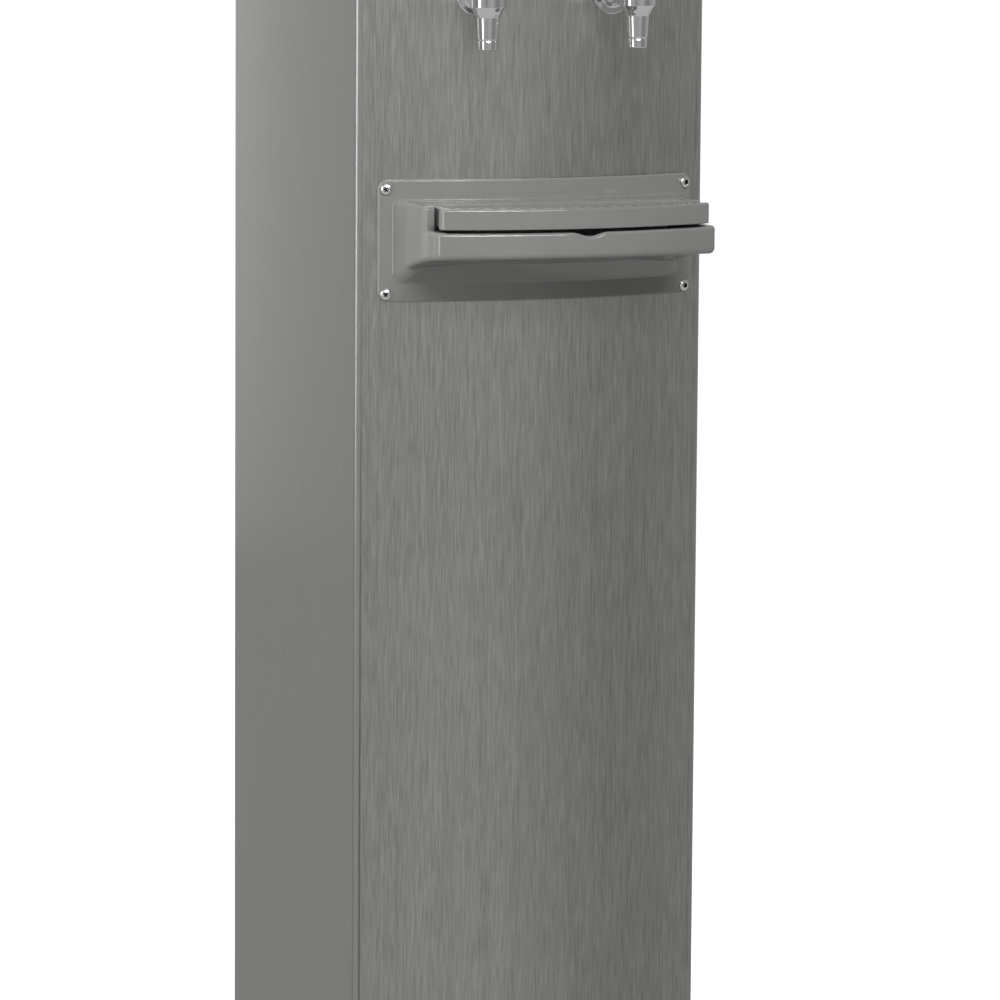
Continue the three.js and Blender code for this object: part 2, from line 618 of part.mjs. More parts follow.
function tankTube(side) {
  const behindTap = (inset) => {
    const [angle, r] = [bowAngle(side * TAP_HALF), BOW_RADIUS - TAP_SHANK - inset];
    return [r * Math.sin(angle), BOW_AXIS - r * Math.cos(angle), TAP_HEIGHT];
  };
  const start = FOAM.high + 6 + GAP;
  const points = [
    [side * TANK_PORT, TANK.y, start], [side * TANK_PORT, TANK.y, start + 18],
    [side * 44, TANK.y - 30, start + 42], [side * 54, 64, start + 30], behindTap(34), behindTap(2 * GAP),
  ];
  return tube(points, 4, 6, 22);
}

const INLET = { x: 100, z: 650 };
const WASTE = { x: -104, z: 92 };
const KNOB = { x: -100, z: 660 };
const SWITCH = { x: 0, z: 480, half: 11, tall: 15 };
const SOCKET = { x: 0, z: 420, half: 15, tall: 12 };
const REAR_HOLES = [[INLET.x, INLET.z, 11], [WASTE.x, WASTE.z, 13], [KNOB.x, KNOB.z, 6]];
const REAR_FACE = DEPTH - SHEET - GAP;
const POWER_HOLE = join(
  block(SWITCH.x - SWITCH.half - GAP, SWITCH.x + SWITCH.half + GAP, DEPTH - 9, DEPTH + 3,
    SWITCH.z - SWITCH.tall - GAP, SWITCH.z + SWITCH.tall + GAP),
  block(SOCKET.x - SOCKET.half - GAP, SOCKET.x + SOCKET.half + GAP, DEPTH - 9, DEPTH + 3,
    SOCKET.z - SOCKET.tall - GAP, SOCKET.z + SOCKET.tall + GAP),
);

// Bulkhead inlet with its solenoid valve behind the rear panel.
function inletValve() {
  const { x, z } = INLET;
  const y = REAR_FACE;
  const nose = rod(7, [x, y + GAP, z], [x, DEPTH + FITTING_REACH, z]);
  const collar = rod(16, [x, y + GAP, z], [x, y + 5, z], 6);
  const neck = rod(10.4, [x, y - 16, z], [x, y + GAP + 1, z]);
  const coil = block(x - 19, x + 19, y - 54, y - 14, z - 17, z + 30);
  const outlet = rod(5, [x, y - 34, z + 20], [x, y - 34, z + 44], 14);
  const bore = rod(4, [x, y - 40, z], [x, DEPTH + FITTING_REACH + 1, z], 14);
  const rise = rod(3.4, [x, y - 34, z], [x, y - 34, z + 45], 12);
  return cut(join(nose, collar, neck, coil, outlet), bore, rise);
}

function inletTube() {
  const y = REAR_FACE - 34;
  const foot = SHELF_HEIGHT - 12 - GAP;
  const points = [
    [INLET.x, y, INLET.z + 44 + 2 * GAP], [INLET.x, y, INLET.z + 54], [INLET.x - 34, y - 36, INLET.z + 62],
    [30, TANK.y + 24, foot - 36], [4, TANK.y + 2, foot - 30], [0, TANK.y, foot - 12], [0, TANK.y, foot - GAP],
  ];
  return tube(points, 4, 6, 24);
}

// ---- Waste water ---------------------------------------------------------------------------
function drainElbow() {
  const end = APEX + SPIGOT.reach;
  const z = SPIGOT.z;
  const [INNER, OUTER] = [SPIGOT.radius + GAP, 12.5];
  const level = rod(OUTER, [0, end - 16, z], [0, end + 14, z]);
  const down = rod(OUTER, [0, end + 14, z + 10], [0, end + 14, z - 30]);
  const socket = rod(INNER, [0, end - 17, z], [0, end + 2, z]);
  const along = rod(7, [0, end, z], [0, end + 14, z]);
  const way = join(along, rod(7, [0, end + 14, z + 4], [0, end + 14, z - 31]));
  return cut(join(level, down), socket, way);
}

function drainHose() {
  const y = APEX + SPIGOT.reach + 14;
  const top = SPIGOT.z - 30 - GAP;
  const points = [
    [0, y, top], [0, y, top - 30], [-6, y + 6, top - 120], [-40, 26, 560], [-86, 30, 400],
    [-104, 40, 260], [-110, 80, 140], [WASTE.x, 150, WASTE.z + 8], [WASTE.x, 240, WASTE.z],
    [WASTE.x, REAR_FACE - 20 - GAP, WASTE.z],
  ];
  return tube(points, 9, 8, 32);
}

function wasteOutlet() {
  const { x, z } = WASTE;
  const y = REAR_FACE;
  const body = join(
    rod(9, [x, y - 20, z], [x, DEPTH + FITTING_REACH, z]),
    rod(12.4, [x, y - 8, z], [x, y + 2, z]),
    rod(18, [x, y + GAP, z], [x, y + 5, z], 24),
  );
  return cut(body, rod(6.5, [x, y - 21, z], [x, DEPTH + FITTING_REACH + 1, z], 16));
}

// ---- Refrigeration -------------------------------------------------------------------------
function compressor() {
  const { radius, low, high, y } = COMPRESSOR;
  const can = turned([
    [0, low], [radius - 20, low], [radius - 4, low + 14], [radius, low + 34], [radius, low + 66],
    [radius + 3, low + 68], [radius + 3, low + 74], [radius, low + 76], [radius, high - 34],
    [radius - 10, high - 12], [radius - 30, high], [0, high],
  ], 20);
  const stub = rod(5, [-36, 0, high - 14], [-36, 0, high + 10], 12);
  const suction = rod(6, [radius - 4, 0, low + 100], [radius + 12, 0, low + 100], 12);
  return join(can, stub, suction).translate([0, y, 0]);
}

function compressorRails() {
  const { low, y } = COMPRESSOR;
  const base = FOOT_HEIGHT + 2;
  const rails = [-44, 44].map((x) => block(x - 12, x + 12, y - 82, y + 82, low - GAP - 3, low - GAP));
  const tie = block(-44, 44, y - 20, y + 20, low - GAP - 3, low - GAP);
  const rubber = (x, dy) => rod(10, [x, y + dy, base + GAP], [x, y + dy, low - GAP - 1], 16);
  const mounts = [-44, 44].flatMap((x) => [-70, 70].map((dy) => rubber(x, dy)));
  return join(...rails, tie, ...mounts);
}

const CONDENSER = { half: 112, low: 270, high: 600, y: DEPTH - 30, passes: 6, tube: 3.2 };

function condenser() {
  const { half, low, high, y, passes, tube: radius } = CONDENSER;
  const pitch = (high - low) / (passes - 1);
  const points = [];
  for (let i = 0; i < passes; i++) {
    const z = high - i * pitch;
    const side = i % 2 === 0 ? 1 : -1;
    points.push([-side * half, y, z], [0, y, z], [side * half, y, z]);
    if (i < passes - 1) points.push([side * (half + 14), y, z - pitch / 2]);
  }
  return tube(points, radius, 6, 84);
}

const DRYER = { x: -128, y: 236, low: 320, high: 410 };

function filterDryer() {
  const { x, y, low, high } = DRYER;
  const profile = [
    [0, low], [3.5, low], [3.5, low + 14], [11, low + 24],
    [11, high - 24], [3.5, high - 14], [3.5, high], [0, high],
  ];
  return turned(profile, 18).translate([x, y, 0]);
}

function dischargePipe() {
  const { high, y } = COMPRESSOR;
  const points = [
    [-36, y, high + 10 + GAP], [-36, y, high + 34], [-70, y + 20, high + 110], [-128, CONDENSER.y - 40, 440],
    [-138, CONDENSER.y - 24, 560], [-132, CONDENSER.y - 4, CONDENSER.high],
    [-CONDENSER.half - 3 * GAP, CONDENSER.y, CONDENSER.high],
  ];
  return tube(points, 3, 6, 26);
}

function liquidPipe() {
  const end = CONDENSER.half + 3 * GAP;
  const points = [
    [-end, CONDENSER.y, CONDENSER.low], [-end - 14, CONDENSER.y - 2, CONDENSER.low],
    [DRYER.x - 2, DRYER.y + 20, CONDENSER.low + 4], [DRYER.x, DRYER.y + 1, DRYER.low - 22],
    [DRYER.x, DRYER.y, DRYER.low - GAP],
  ];
  return tube(points, 3, 6, 20);
}

function suctionPipe() {
  const { radius, low, y } = COMPRESSOR;
  const z = TANK.low + 30;
  const points = [
    [60, TANK.y + 66, z], [60, TANK.y + 112, z], [60, 277, z - 24], [60, 277, SHELF_HEIGHT],
    [64, 266, 600], [104, 226, 420], [122, y + 10, 240], [radius + 34, y, low + 102],
    [radius + 12 + 3 * GAP, y, low + 100],
  ];
  return tube(points, 4, 6, 34);
}

// ---- Controls on the rear panel ------------------------------------------------------------
function thermostat() {
  const y = REAR_FACE - SHEET - GAP;
  const { x, z } = KNOB;
  return cut(block(x - 20, x + 20, y - 26, y, z - 16, z + 16), rod(3.6, [x, y - 9, z], [x, y + 1, z], 14));
}

function thermostatKnob() {
  const { x, z } = KNOB;
  const grip = turned([[0, 0], [15, 0], [15, 9], [13.5, 11], [0, 11]], 24);
  const pointer = cut(grip, block(-1, 1, 5, 16, 9.6, 12));
  const shaft = rod(3, [0, 0, -12], [0, 0, 1], 14);
  return join(pointer, shaft).rotate([-90, 0, 0]).translate([x, DEPTH + GAP, z]);
}

function inset({ x, z, half, tall }, depth) {
  const y = REAR_FACE;
  const body = block(x - half, x + half, y - depth, y + GAP + 1, z - tall, z + tall);
  const rim = block(x - half - 3, x + half + 3, y + GAP, y + 3, z - tall - 3, z + tall + 3);
  return join(body, rim);
}

function powerSwitch() {
  const { x, z } = SWITCH;
  return cut(inset(SWITCH, 18), block(x - 8, x + 8, REAR_FACE - 9, REAR_FACE + 9, z - 12, z + 12));
}

// The rocker: a shallow V that turns about a line across the switch.
const ROCKER = { half: 7.4, tall: 10.6, y: REAR_FACE - 1, tilt: 9 };

function switchRocker() {
  const { half, tall, y } = ROCKER;
  const lift = tall * Math.tan(THREE.MathUtils.degToRad(ROCKER.tilt));
  const [back, ends, face] = [-6, -2.6, 1.4];
  const side = outline([
    [back, -2], [ends, -tall], [face + 2 * lift, -tall], [face, 0], [face, tall], [ends, tall], [back, 2],
  ]);
  return spanning(side, -half, half).translate([SWITCH.x, y, SWITCH.z]);
}

function powerSocket() {
  const { x, z } = SOCKET;
  const y = REAR_FACE;
  const well = block(x - 12, x + 12, y - 14, y + 9, z - 8.5, z + 8.5);
  const pins = [[-7, -1], [0, 3], [7, -1]].map(([dx, dz]) => {
    return block(x + dx - 2, x + dx + 2, y - 15, y - 2, z + dz - 1, z + dz + 1);
  });
  return join(cut(inset(SOCKET, 18), well), ...pins);
}

// ---- Assembly ------------------------------------------------------------------------------
piece('front_panel', frontPanel(), BRUSHED);
piece('side_panel_left', sidePanel(-1), BRUSHED);
piece('side_panel_right', sidePanel(1), BRUSHED);
piece('rear_panel', rearPanel(), ZINC);
piece('top_cover', topCover(), GREY_PLASTIC);
piece('base_pan', basePan(), ZINC);
piece('tank_shelf', shelf(), ZINC);
for (const [name, x, y] of FEET) piece(`levelling_foot_${name}`, foot(x, y), RUBBER);

piece('drip_tray', dripTray(), GREY_PLASTIC);
piece('drip_grille', dripGrille(), GREY_PLASTIC);
piece('tray_gasket', gasket(), RUBBER);
for (const [name, x, z] of TRAY_SCREWS) {
  piece(`tray_screw_${name}`, trayScrew(x, z), BRIGHT_STEEL);
  piece(`weld_nut_${name}`, weldNut(x, z), ZINC);
}

for (const [name, side] of [['left', -1], ['right', 1]]) {
  const x = side * TAP_HALF;
  piece(`tap_body_${name}`, tapBody(x), CHROME);
  piece(`tap_nut_${name}`, tapNut(x), ZINC);
  piece(`tap_button_${name}`, tapButton(x), DARK_PLASTIC);
  piece(`tap_spring_${name}`, tapSpring(x), BRIGHT_STEEL);
  piece(`tap_tube_${name}`, tankTube(side), BLUE_TUBE);
}

piece('cold_tank', coldTank(), BRIGHT_STEEL);
piece('evaporator_coil', evaporator(), COPPER);
piece('foam_jacket_front', foamHalf(-1), FOAM_BLACK);
piece('foam_jacket_rear', foamHalf(1), FOAM_BLACK);
piece('inlet_valve', inletValve(), DARK_PLASTIC);
piece('inlet_tube', inletTube(), BLUE_TUBE);

piece('drain_elbow', drainElbow(), GREY_PLASTIC);
piece('drain_hose', drainHose(), HOSE);
piece('waste_outlet', wasteOutlet(), DARK_PLASTIC);

piece('compressor', compressor(), BLACK_PAINT);
piece('compressor_rails', compressorRails(), ZINC);
piece('condenser_coil', condenser(), BLACK_PAINT);
piece('filter_dryer', filterDryer(), COPPER);
piece('discharge_pipe', dischargePipe(), COPPER);
piece('liquid_pipe', liquidPipe(), COPPER);
piece('suction_pipe', suctionPipe(), COPPER);

piece('thermostat', thermostat(), DARK_PLASTIC);
piece('thermostat_knob', thermostatKnob(), DARK_PLASTIC);
piece('power_switch', powerSwitch(), DARK_PLASTIC);
piece('switch_rocker', switchRocker(), DARK_PLASTIC);
piece('power_socket', powerSocket(), DARK_PLASTIC);

// Origin at the middle of the footprint: half way from the tray's lip to the rear fittings.
dispenser.position.y = (LIP_REACH - DEPTH - FITTING_REACH) / 2;

export default dispenser;
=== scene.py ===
# A floor-standing drinking water dispenser: a brushed stainless column with a bowed front, two
# push taps, and a glossy grey drip tray with a lift-up grille. The front faces -Y, and +Z is up.
import json
import math

import bpy
import numpy as np
from mathutils import Matrix, Vector


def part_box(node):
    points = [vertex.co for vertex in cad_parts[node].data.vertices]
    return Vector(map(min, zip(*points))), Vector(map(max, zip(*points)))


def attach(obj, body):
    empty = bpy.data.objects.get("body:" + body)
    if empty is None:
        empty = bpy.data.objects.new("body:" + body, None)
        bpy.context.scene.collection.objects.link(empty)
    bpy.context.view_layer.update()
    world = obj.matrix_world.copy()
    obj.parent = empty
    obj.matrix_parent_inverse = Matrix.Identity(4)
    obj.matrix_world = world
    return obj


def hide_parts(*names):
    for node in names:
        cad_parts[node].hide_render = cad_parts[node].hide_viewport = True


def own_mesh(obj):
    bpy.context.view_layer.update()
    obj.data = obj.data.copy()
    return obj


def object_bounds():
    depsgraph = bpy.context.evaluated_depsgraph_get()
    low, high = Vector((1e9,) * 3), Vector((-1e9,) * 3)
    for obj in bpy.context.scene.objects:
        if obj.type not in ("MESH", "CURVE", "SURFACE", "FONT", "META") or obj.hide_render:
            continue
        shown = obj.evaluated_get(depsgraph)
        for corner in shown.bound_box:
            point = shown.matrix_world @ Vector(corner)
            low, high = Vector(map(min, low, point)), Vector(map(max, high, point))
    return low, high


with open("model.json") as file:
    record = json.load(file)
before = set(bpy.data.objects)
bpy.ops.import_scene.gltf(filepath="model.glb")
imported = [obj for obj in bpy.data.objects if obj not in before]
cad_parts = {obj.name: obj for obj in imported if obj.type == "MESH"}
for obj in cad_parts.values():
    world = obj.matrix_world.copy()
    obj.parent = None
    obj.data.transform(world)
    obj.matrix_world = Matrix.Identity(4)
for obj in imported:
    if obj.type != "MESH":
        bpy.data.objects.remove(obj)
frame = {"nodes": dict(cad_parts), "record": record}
cad_low, cad_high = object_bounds()
MM = 0.001
scene = bpy.context.scene


# ---- Camera ------------------------------------------------------------------------------------
# A long lens, to the left of the front and a little above the tray, as a catalogue would show it.
# It frames the middle of the column, from the taps' spouts to a hand's breadth above the floor.
panel_low, panel_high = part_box("front_panel")
corner_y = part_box("side_panel_left")[0].y  # plane of the cabinet's two front corners
grille_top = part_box("drip_grille")[1].z

VIEW_YAW = math.radians(21.0)
VIEW_PITCH = math.radians(7.71)
VIEW_ROLL = math.radians(0.40)
VIEW_DISTANCE = 5.18
AIM_DROP = 0.2634
AIM_SHIFT = 0.0243
LENS = 216

back = Vector((
    -math.sin(VIEW_YAW) * math.cos(VIEW_PITCH),
    -math.cos(VIEW_YAW) * math.cos(VIEW_PITCH),
    math.sin(VIEW_PITCH),
))
across = Vector((math.cos(VIEW_YAW), -math.sin(VIEW_YAW), 0))
aim = Vector((0, corner_y, grille_top - AIM_DROP)) - across * AIM_SHIFT
camera_data = bpy.data.cameras.new("camera")
camera_data.lens = LENS
camera_data.clip_end = 200
camera = bpy.data.objects.new("camera", camera_data)
turn = back.to_track_quat("Z", "Y").to_matrix().to_4x4() @ Matrix.Rotation(VIEW_ROLL, 4, "Z")
camera.matrix_world = Matrix.Translation(aim + back * VIEW_DISTANCE) @ turn
scene.collection.objects.link(camera)
scene.camera = camera


# ---- Floor and light ---------------------------------------------------------------------------
# A pale seamless floor in a white room. The room is dimmer in the steel than to the eye, brighter
# to the front left, and pale again underfoot. Soft boxes above the front, at the left and behind
# the left side give the shine.
scene.view_settings.view_transform = "Standard"


def colour(value):
    return (*value, 1.0)


def new_material(name, base, rough, metal=0.0):
    material = bpy.data.materials.new(name)
    material.use_nodes = True
    shader = material.node_tree.nodes["Principled BSDF"]
    shader.inputs["Base Color"].default_value = colour(base)
    shader.inputs["Roughness"].default_value = rough
    shader.inputs["Metallic"].default_value = metal
    return material, material.node_tree.nodes, material.node_tree.links, shader


FLOOR = 45.0  # half its width
FLOOR_GLOW = 0.77
FLOOR_PALE, FLOOR_DIM = 0.8, 0.32  # to the eye, and in the light that it gives back
floor_mesh = bpy.data.meshes.new("floor")
corners = [(x * FLOOR, y * FLOOR, 0) for x, y in ((-1, -1), (1, -1), (1, 1), (-1, 1))]
floor_mesh.from_pydata(corners, [], [(0, 1, 2, 3)])
floor = bpy.data.objects.new("floor", floor_mesh)
floor.visible_glossy = False
scene.collection.objects.link(floor)
floor_finish, nodes, links, shader = new_material("pale_floor", (FLOOR_PALE,) * 3, 0.7)
shader.inputs["Specular IOR Level"].default_value = 0
shader.inputs["Emission Color"].default_value = colour((1, 1, 1))
ray = nodes.new("ShaderNodeLightPath")
glow = nodes.new("ShaderNodeMath")
glow.operation = "MULTIPLY"
glow.inputs[1].default_value = FLOOR_GLOW
links.new(ray.outputs["Is Camera Ray"], glow.inputs[0])
links.new(glow.outputs["Value"], shader.inputs["Emission Strength"])
tint = nodes.new("ShaderNodeMix")
tint.data_type = "RGBA"
tint.inputs["A"].default_value = colour((FLOOR_DIM,) * 3)
tint.inputs["B"].default_value = colour((FLOOR_PALE,) * 3)
links.new(ray.outputs["Is Camera Ray"], tint.inputs["Factor"])
links.new(tint.outputs["Result"], shader.inputs["Base Color"])
floor_mesh.materials.append(floor_finish)

FRONT_LEFT = (-0.5, -0.866, 0)
GROUND_FROM, GROUND_FULL = -0.3, -0.6  # how far down the look has to be to meet the ground
GROUND = (0.48, 0.48, 0.47)
world = bpy.data.worlds.new("white_room")
scene.world = world
world.use_nodes = True
nodes, links = world.node_tree.nodes, world.node_tree.links
room = nodes["Background"]
heading = nodes.new("ShaderNodeTexCoord")
toward_bright = nodes.new("ShaderNodeVectorMath")
toward_bright.operation = "DOT_PRODUCT"
toward_bright.inputs[1].default_value = FRONT_LEFT
links.new(heading.outputs["Generated"], toward_bright.inputs[0])
share = nodes.new("ShaderNodeMapRange")
share.inputs["From Min"].default_value = -1
links.new(toward_bright.outputs["Value"], share.inputs["Value"])
walls = nodes.new("ShaderNodeValToRGB")
# How bright the room is, from the back right (0) round to the front left (1).
WALLS = [
    (0.0, 0.365), (0.22, 0.36), (0.42, 0.30), (0.55, 0.22),
    (0.72, 0.23), (0.90, 0.41), (0.985, 0.36), (1.0, 0.26),
]
WALL_WARMTH = 0.97
for position, level in WALLS[1:-1]:
    walls.color_ramp.elements.new(position)
for stop, (position, level) in zip(walls.color_ramp.elements, WALLS):
    stop.position = position
    stop.color = colour((level, level, level * WALL_WARMTH))
links.new(share.outputs["Result"], walls.inputs["Fac"])
parts = nodes.new("ShaderNodeSeparateXYZ")
links.new(heading.outputs["Generated"], parts.inputs["Vector"])
down = nodes.new("ShaderNodeMapRange")
down.inputs["From Min"].default_value = GROUND_FROM
down.inputs["From Max"].default_value = GROUND_FULL
links.new(parts.outputs["Z"], down.inputs["Value"])
ground = nodes.new("ShaderNodeMix")
ground.data_type = "RGBA"
ground.inputs["B"].default_value = colour(GROUND)
links.new(down.outputs["Result"], ground.inputs["Factor"])
links.new(walls.outputs["Color"], ground.inputs["A"])
links.new(ground.outputs["Result"], room.inputs["Color"])
seen = nodes.new("ShaderNodeBackground")
seen.inputs["Color"].default_value = colour((1, 1, 1))
mix = nodes.new("ShaderNodeMixShader")
ray = nodes.new("ShaderNodeLightPath")
links.new(ray.outputs["Is Camera Ray"], mix.inputs["Fac"])
links.new(room.outputs["Background"], mix.inputs[1])
links.new(seen.outputs["Background"], mix.inputs[2])
links.new(mix.outputs["Shader"], nodes["World Output"].inputs["Surface"])


def soft_box(name, place, target, width, height, power):
    light = bpy.data.lights.new(name, "AREA")
    light.shape = "RECTANGLE"
    light.size, light.size_y, light.energy = width, height, power
    lamp = bpy.data.objects.new(name, light)
    lamp.location = place
    lamp.rotation_euler = (Vector(target) - Vector(place)).to_track_quat("-Z", "Y").to_euler()
    lamp.visible_camera = False
    scene.collection.objects.link(lamp)
    return lamp


middle = (0, corner_y, grille_top)
left_corner = (cad_low[0], corner_y, grille_top)
left_rear = (cad_low[0], 0.2, 0.95)
soft_box("strip_above_front", (-0.55, -2.35, 2.2), middle, 1.5, 0.22, 32)
soft_box("box_above_front", (0.1, -2.6, 2.4), middle, 1.4, 0.8, 19)
fill = soft_box("box_left", (-1.9, 1.0, 1.4), middle, 0.8, 1.0, 35)
fill.visible_glossy = False
corner_light = soft_box("oval_left", (-1.35, -0.5, 1.08), left_corner, 0.34, 1.36, 3.6)
side_light = soft_box("oval_behind_left", (-0.27, 0.53, 1.05), left_rear, 0.1, 1.3, 0.15)
for lamp in (corner_light, side_light):
    lamp.data.shape = "ELLIPSE"


# ---- Side panels -------------------------------------------------------------------------------
# Each side is one folded stainless sheet: a 4 mm roll at the front corner that catches the light,
# a return behind the front panel's edge, and another that the rear panel closes against.
SHEET = 0.0012
side_low, side_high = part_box("side_panel_left")
wall_x = -side_low.x
CORNER = 0.004
FRONT_RETURN = 0.016
REAR_RETURN = 0.014


def new_piece(name, vertices, faces, material):
    mesh = bpy.data.meshes.new(name)
    mesh.from_pydata([tuple(v) for v in vertices], [], [tuple(f) for f in faces])
    mesh.materials.append(material)
    mesh.shade_smooth()
    piece = bpy.data.objects.new(name, mesh)
    scene.collection.objects.link(piece)
    return piece


def place(piece, body, slot, *nodes):
    """The piece rides on a body and stands for some nodes, which it hides. The slot is not used."""
    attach(piece, body)
    if nodes:
        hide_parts(*nodes)


def standing_sheet(name, plan, low, high, material):
    """A plan outline in X and Y, extruded from low to high, with its folds smooth."""
    count = len(plan)
    vertices = [(x, y, low) for x, y in plan] + [(x, y, high) for x, y in plan]
    walls = [(i, (i + 1) % count, (i + 1) % count + count, i + count) for i in range(count)]
    caps = [tuple(reversed(range(count))), tuple(range(count, 2 * count))]
    piece = new_piece(name, vertices, walls + caps, material)
    piece.data.set_sharp_from_angle(angle=math.radians(30))
    return piece


SCRATCH, SCRATCH_DEEP = 0.0010, 0.00002
BAND, BAND_RUN, BAND_SHARE = 0.006, 9, 0.18
STREAK_DARK, STREAK_PALE = 0.34, 0.66
ROUGH_SPREAD = 0.05


def steel_finish(name, base, rough, streak, depth, run):
    """Stainless brushed along Z: fine upright scratches in tone, roughness and relief. Streak is
    how far the tone varies, depth how deep the scratches look, run how long they are."""
    material, nodes, links, shader = new_material(name, base, rough, 1.0)
    spot = nodes.new("ShaderNodeTexCoord")

    def scratches(width, length):
        stretch = nodes.new("ShaderNodeMapping")
        stretch.inputs["Scale"].default_value = (1 / width, 1 / width, 1 / length)
        links.new(spot.outputs["Object"], stretch.inputs["Vector"])
        noise = nodes.new("ShaderNodeTexNoise")
        noise.inputs["Scale"].default_value = 1.0
        noise.inputs["Detail"].default_value = 2.0
        noise.inputs["Roughness"].default_value = 0.55
        links.new(stretch.outputs["Vector"], noise.inputs["Vector"])
        return noise

    fine = scratches(SCRATCH, run)
    broad = scratches(BAND, run * BAND_RUN)
    both = nodes.new("ShaderNodeMix")
    both.inputs["Factor"].default_value = BAND_SHARE
    links.new(fine.outputs["Fac"], both.inputs["A"])
    links.new(broad.outputs["Fac"], both.inputs["B"])
    tone = nodes.new("ShaderNodeValToRGB")
    tone.color_ramp.elements[0].position = STREAK_DARK
    tone.color_ramp.elements[0].color = colour([c * (1 - streak) for c in base])
    tone.color_ramp.elements[1].position = STREAK_PALE
    tone.color_ramp.elements[1].color = colour([c * (1 + streak) for c in base])
    links.new(both.outputs["Result"], tone.inputs["Fac"])
    links.new(tone.outputs["Color"], shader.inputs["Base Color"])
    spread = nodes.new("ShaderNodeMapRange")
    spread.inputs["To Min"].default_value = rough - ROUGH_SPREAD
    spread.inputs["To Max"].default_value = rough + ROUGH_SPREAD
    links.new(fine.outputs["Fac"], spread.inputs["Value"])
    links.new(spread.outputs["Result"], shader.inputs["Roughness"])
    relief = nodes.new("ShaderNodeBump")
    relief.inputs["Strength"].default_value = depth
    relief.inputs["Distance"].default_value = SCRATCH_DEEP
    links.new(fine.outputs["Fac"], relief.inputs["Height"])
    links.new(relief.outputs["Normal"], shader.inputs["Normal"])
    shader.inputs["Anisotropic"].default_value = 0.6
    grain = nodes.new("ShaderNodeTangent")
    grain.direction_type = "RADIAL"
    grain.axis = "Z"
    links.new(grain.outputs["Tangent"], shader.inputs["Tangent"])
    return material


brushed_side = steel_finish("brushed_side", (0.57, 0.57, 0.565), 0.32, 0.045, 0.25, 0.030)


def corner_roll(radius, steps=10):
    centre = (-wall_x + CORNER, corner_y + CORNER)
    angles = [math.pi + math.pi / 2 * i / steps for i in range(steps + 1)]
    return [(centre[0] + radius * math.cos(a), centre[1] + radius * math.sin(a)) for a in angles]


side_plan = [(-wall_x, side_high.y)] + corner_roll(CORNER)
side_plan += [(-wall_x + FRONT_RETURN, corner_y), (-wall_x + FRONT_RETURN, corner_y + SHEET)]
side_plan += list(reversed(corner_roll(CORNER - SHEET)))
side_plan += [(-wall_x + SHEET, side_high.y - SHEET), (-wall_x + REAR_RETURN, side_high.y - SHEET)]
side_plan += [(-wall_x + REAR_RETURN, side_high.y)]
for name, mirror in (("left", 1), ("right", -1)):
    plan = [(mirror * x, y) for x, y in side_plan]
    plan = plan if mirror == 1 else list(reversed(plan))
    side = standing_sheet(f"side_sheet_{name}", plan, side_low.z, side_high.z, brushed_side)
    place(side, "cabinet", "brushed_side", f"side_panel_{name}")


# ---- Front panel -------------------------------------------------------------------------------
# One sheet of stainless, brushed from top to bottom and rolled to a gentle bow, with its two
# upright edges hemmed back. It clips between the side panels.
BOW = 0.400
bow_y = panel_low.y + BOW
HEM = 0.0016
brushed_front = steel_finish("brushed_front", (0.55, 0.545, 0.528), 0.33, 0.19, 0.8, 0.027)


def bow_arc(half, radius, steps=96):
    reach = math.asin(half / radius)
    angles = [-reach + 2 * reach * i / steps for i in range(steps + 1)]
    return [(radius * math.sin(a), bow_y - radius * math.cos(a)) for a in angles]


half = panel_high.x - HEM
slope = math.asin(half / BOW)
HEM_OVERHANG = 0.9
HEM_STEPS = 8
HEM_INNER = 0.002
hem_x = half - HEM * math.sin(slope) + HEM * HEM_OVERHANG
hem_y = bow_y - math.sqrt(BOW**2 - half**2) + HEM * math.cos(slope)
turns = [slope + math.pi * i / HEM_STEPS for i in range(1, HEM_STEPS + 1)]
hem = [(hem_x + HEM * math.sin(a), hem_y - HEM * math.cos(a)) for a in turns]
inner = bow_arc(half - HEM_INNER, BOW - SHEET)
plan = bow_arc(half, BOW) + hem + inner[::-1] + [(-x, y) for x, y in reversed(hem)]
front_panel = standing_sheet("front_sheet", plan, panel_low.z, panel_high.z, brushed_front)
place(front_panel, "cabinet", "brushed_front", "front_panel")


# ---- Drip tray ---------------------------------------------------------------------------------
# One injection moulding in glossy grey plastic: a flange that follows the bow, a ramp and a basin
# that grow out of it, two side walls, and a lower lip in front with a scoop for a finger.
tray_low, tray_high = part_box("drip_tray")


def round_keep(a, b, radius):
    """Where two solids overlap, with the edge between them rounded."""
    inside = np.minimum(-radius, np.maximum(a, b))
    return inside + np.hypot(np.maximum(radius + a, 0), np.maximum(radius + b, 0))


def round_join(a, b, radius):
    """Two solids as one, with a fillet between them."""
    return -round_keep(-a, -b, radius)


def round_cut(a, b, radius):
    """The first solid less the second, with the rim rounded."""
    return round_keep(a, -b, radius)


def between(value, low, high):
    return np.maximum(low - value, value - high)


def disc(u, v, radius):
    return np.hypot(u, v) - radius


def plate(u, v, half_u, half_v, corner):
    """A rectangle about the origin with rounded corners."""
    du, dv = np.abs(u) - half_u + corner, np.abs(v) - half_v + corner
    outside = np.hypot(np.maximum(du, 0), np.maximum(dv, 0))
    return outside + np.minimum(np.maximum(du, dv), 0) - corner


CELL = [(i, j, k) for i in (0, 1) for j in (0, 1) for k in (0, 1)]


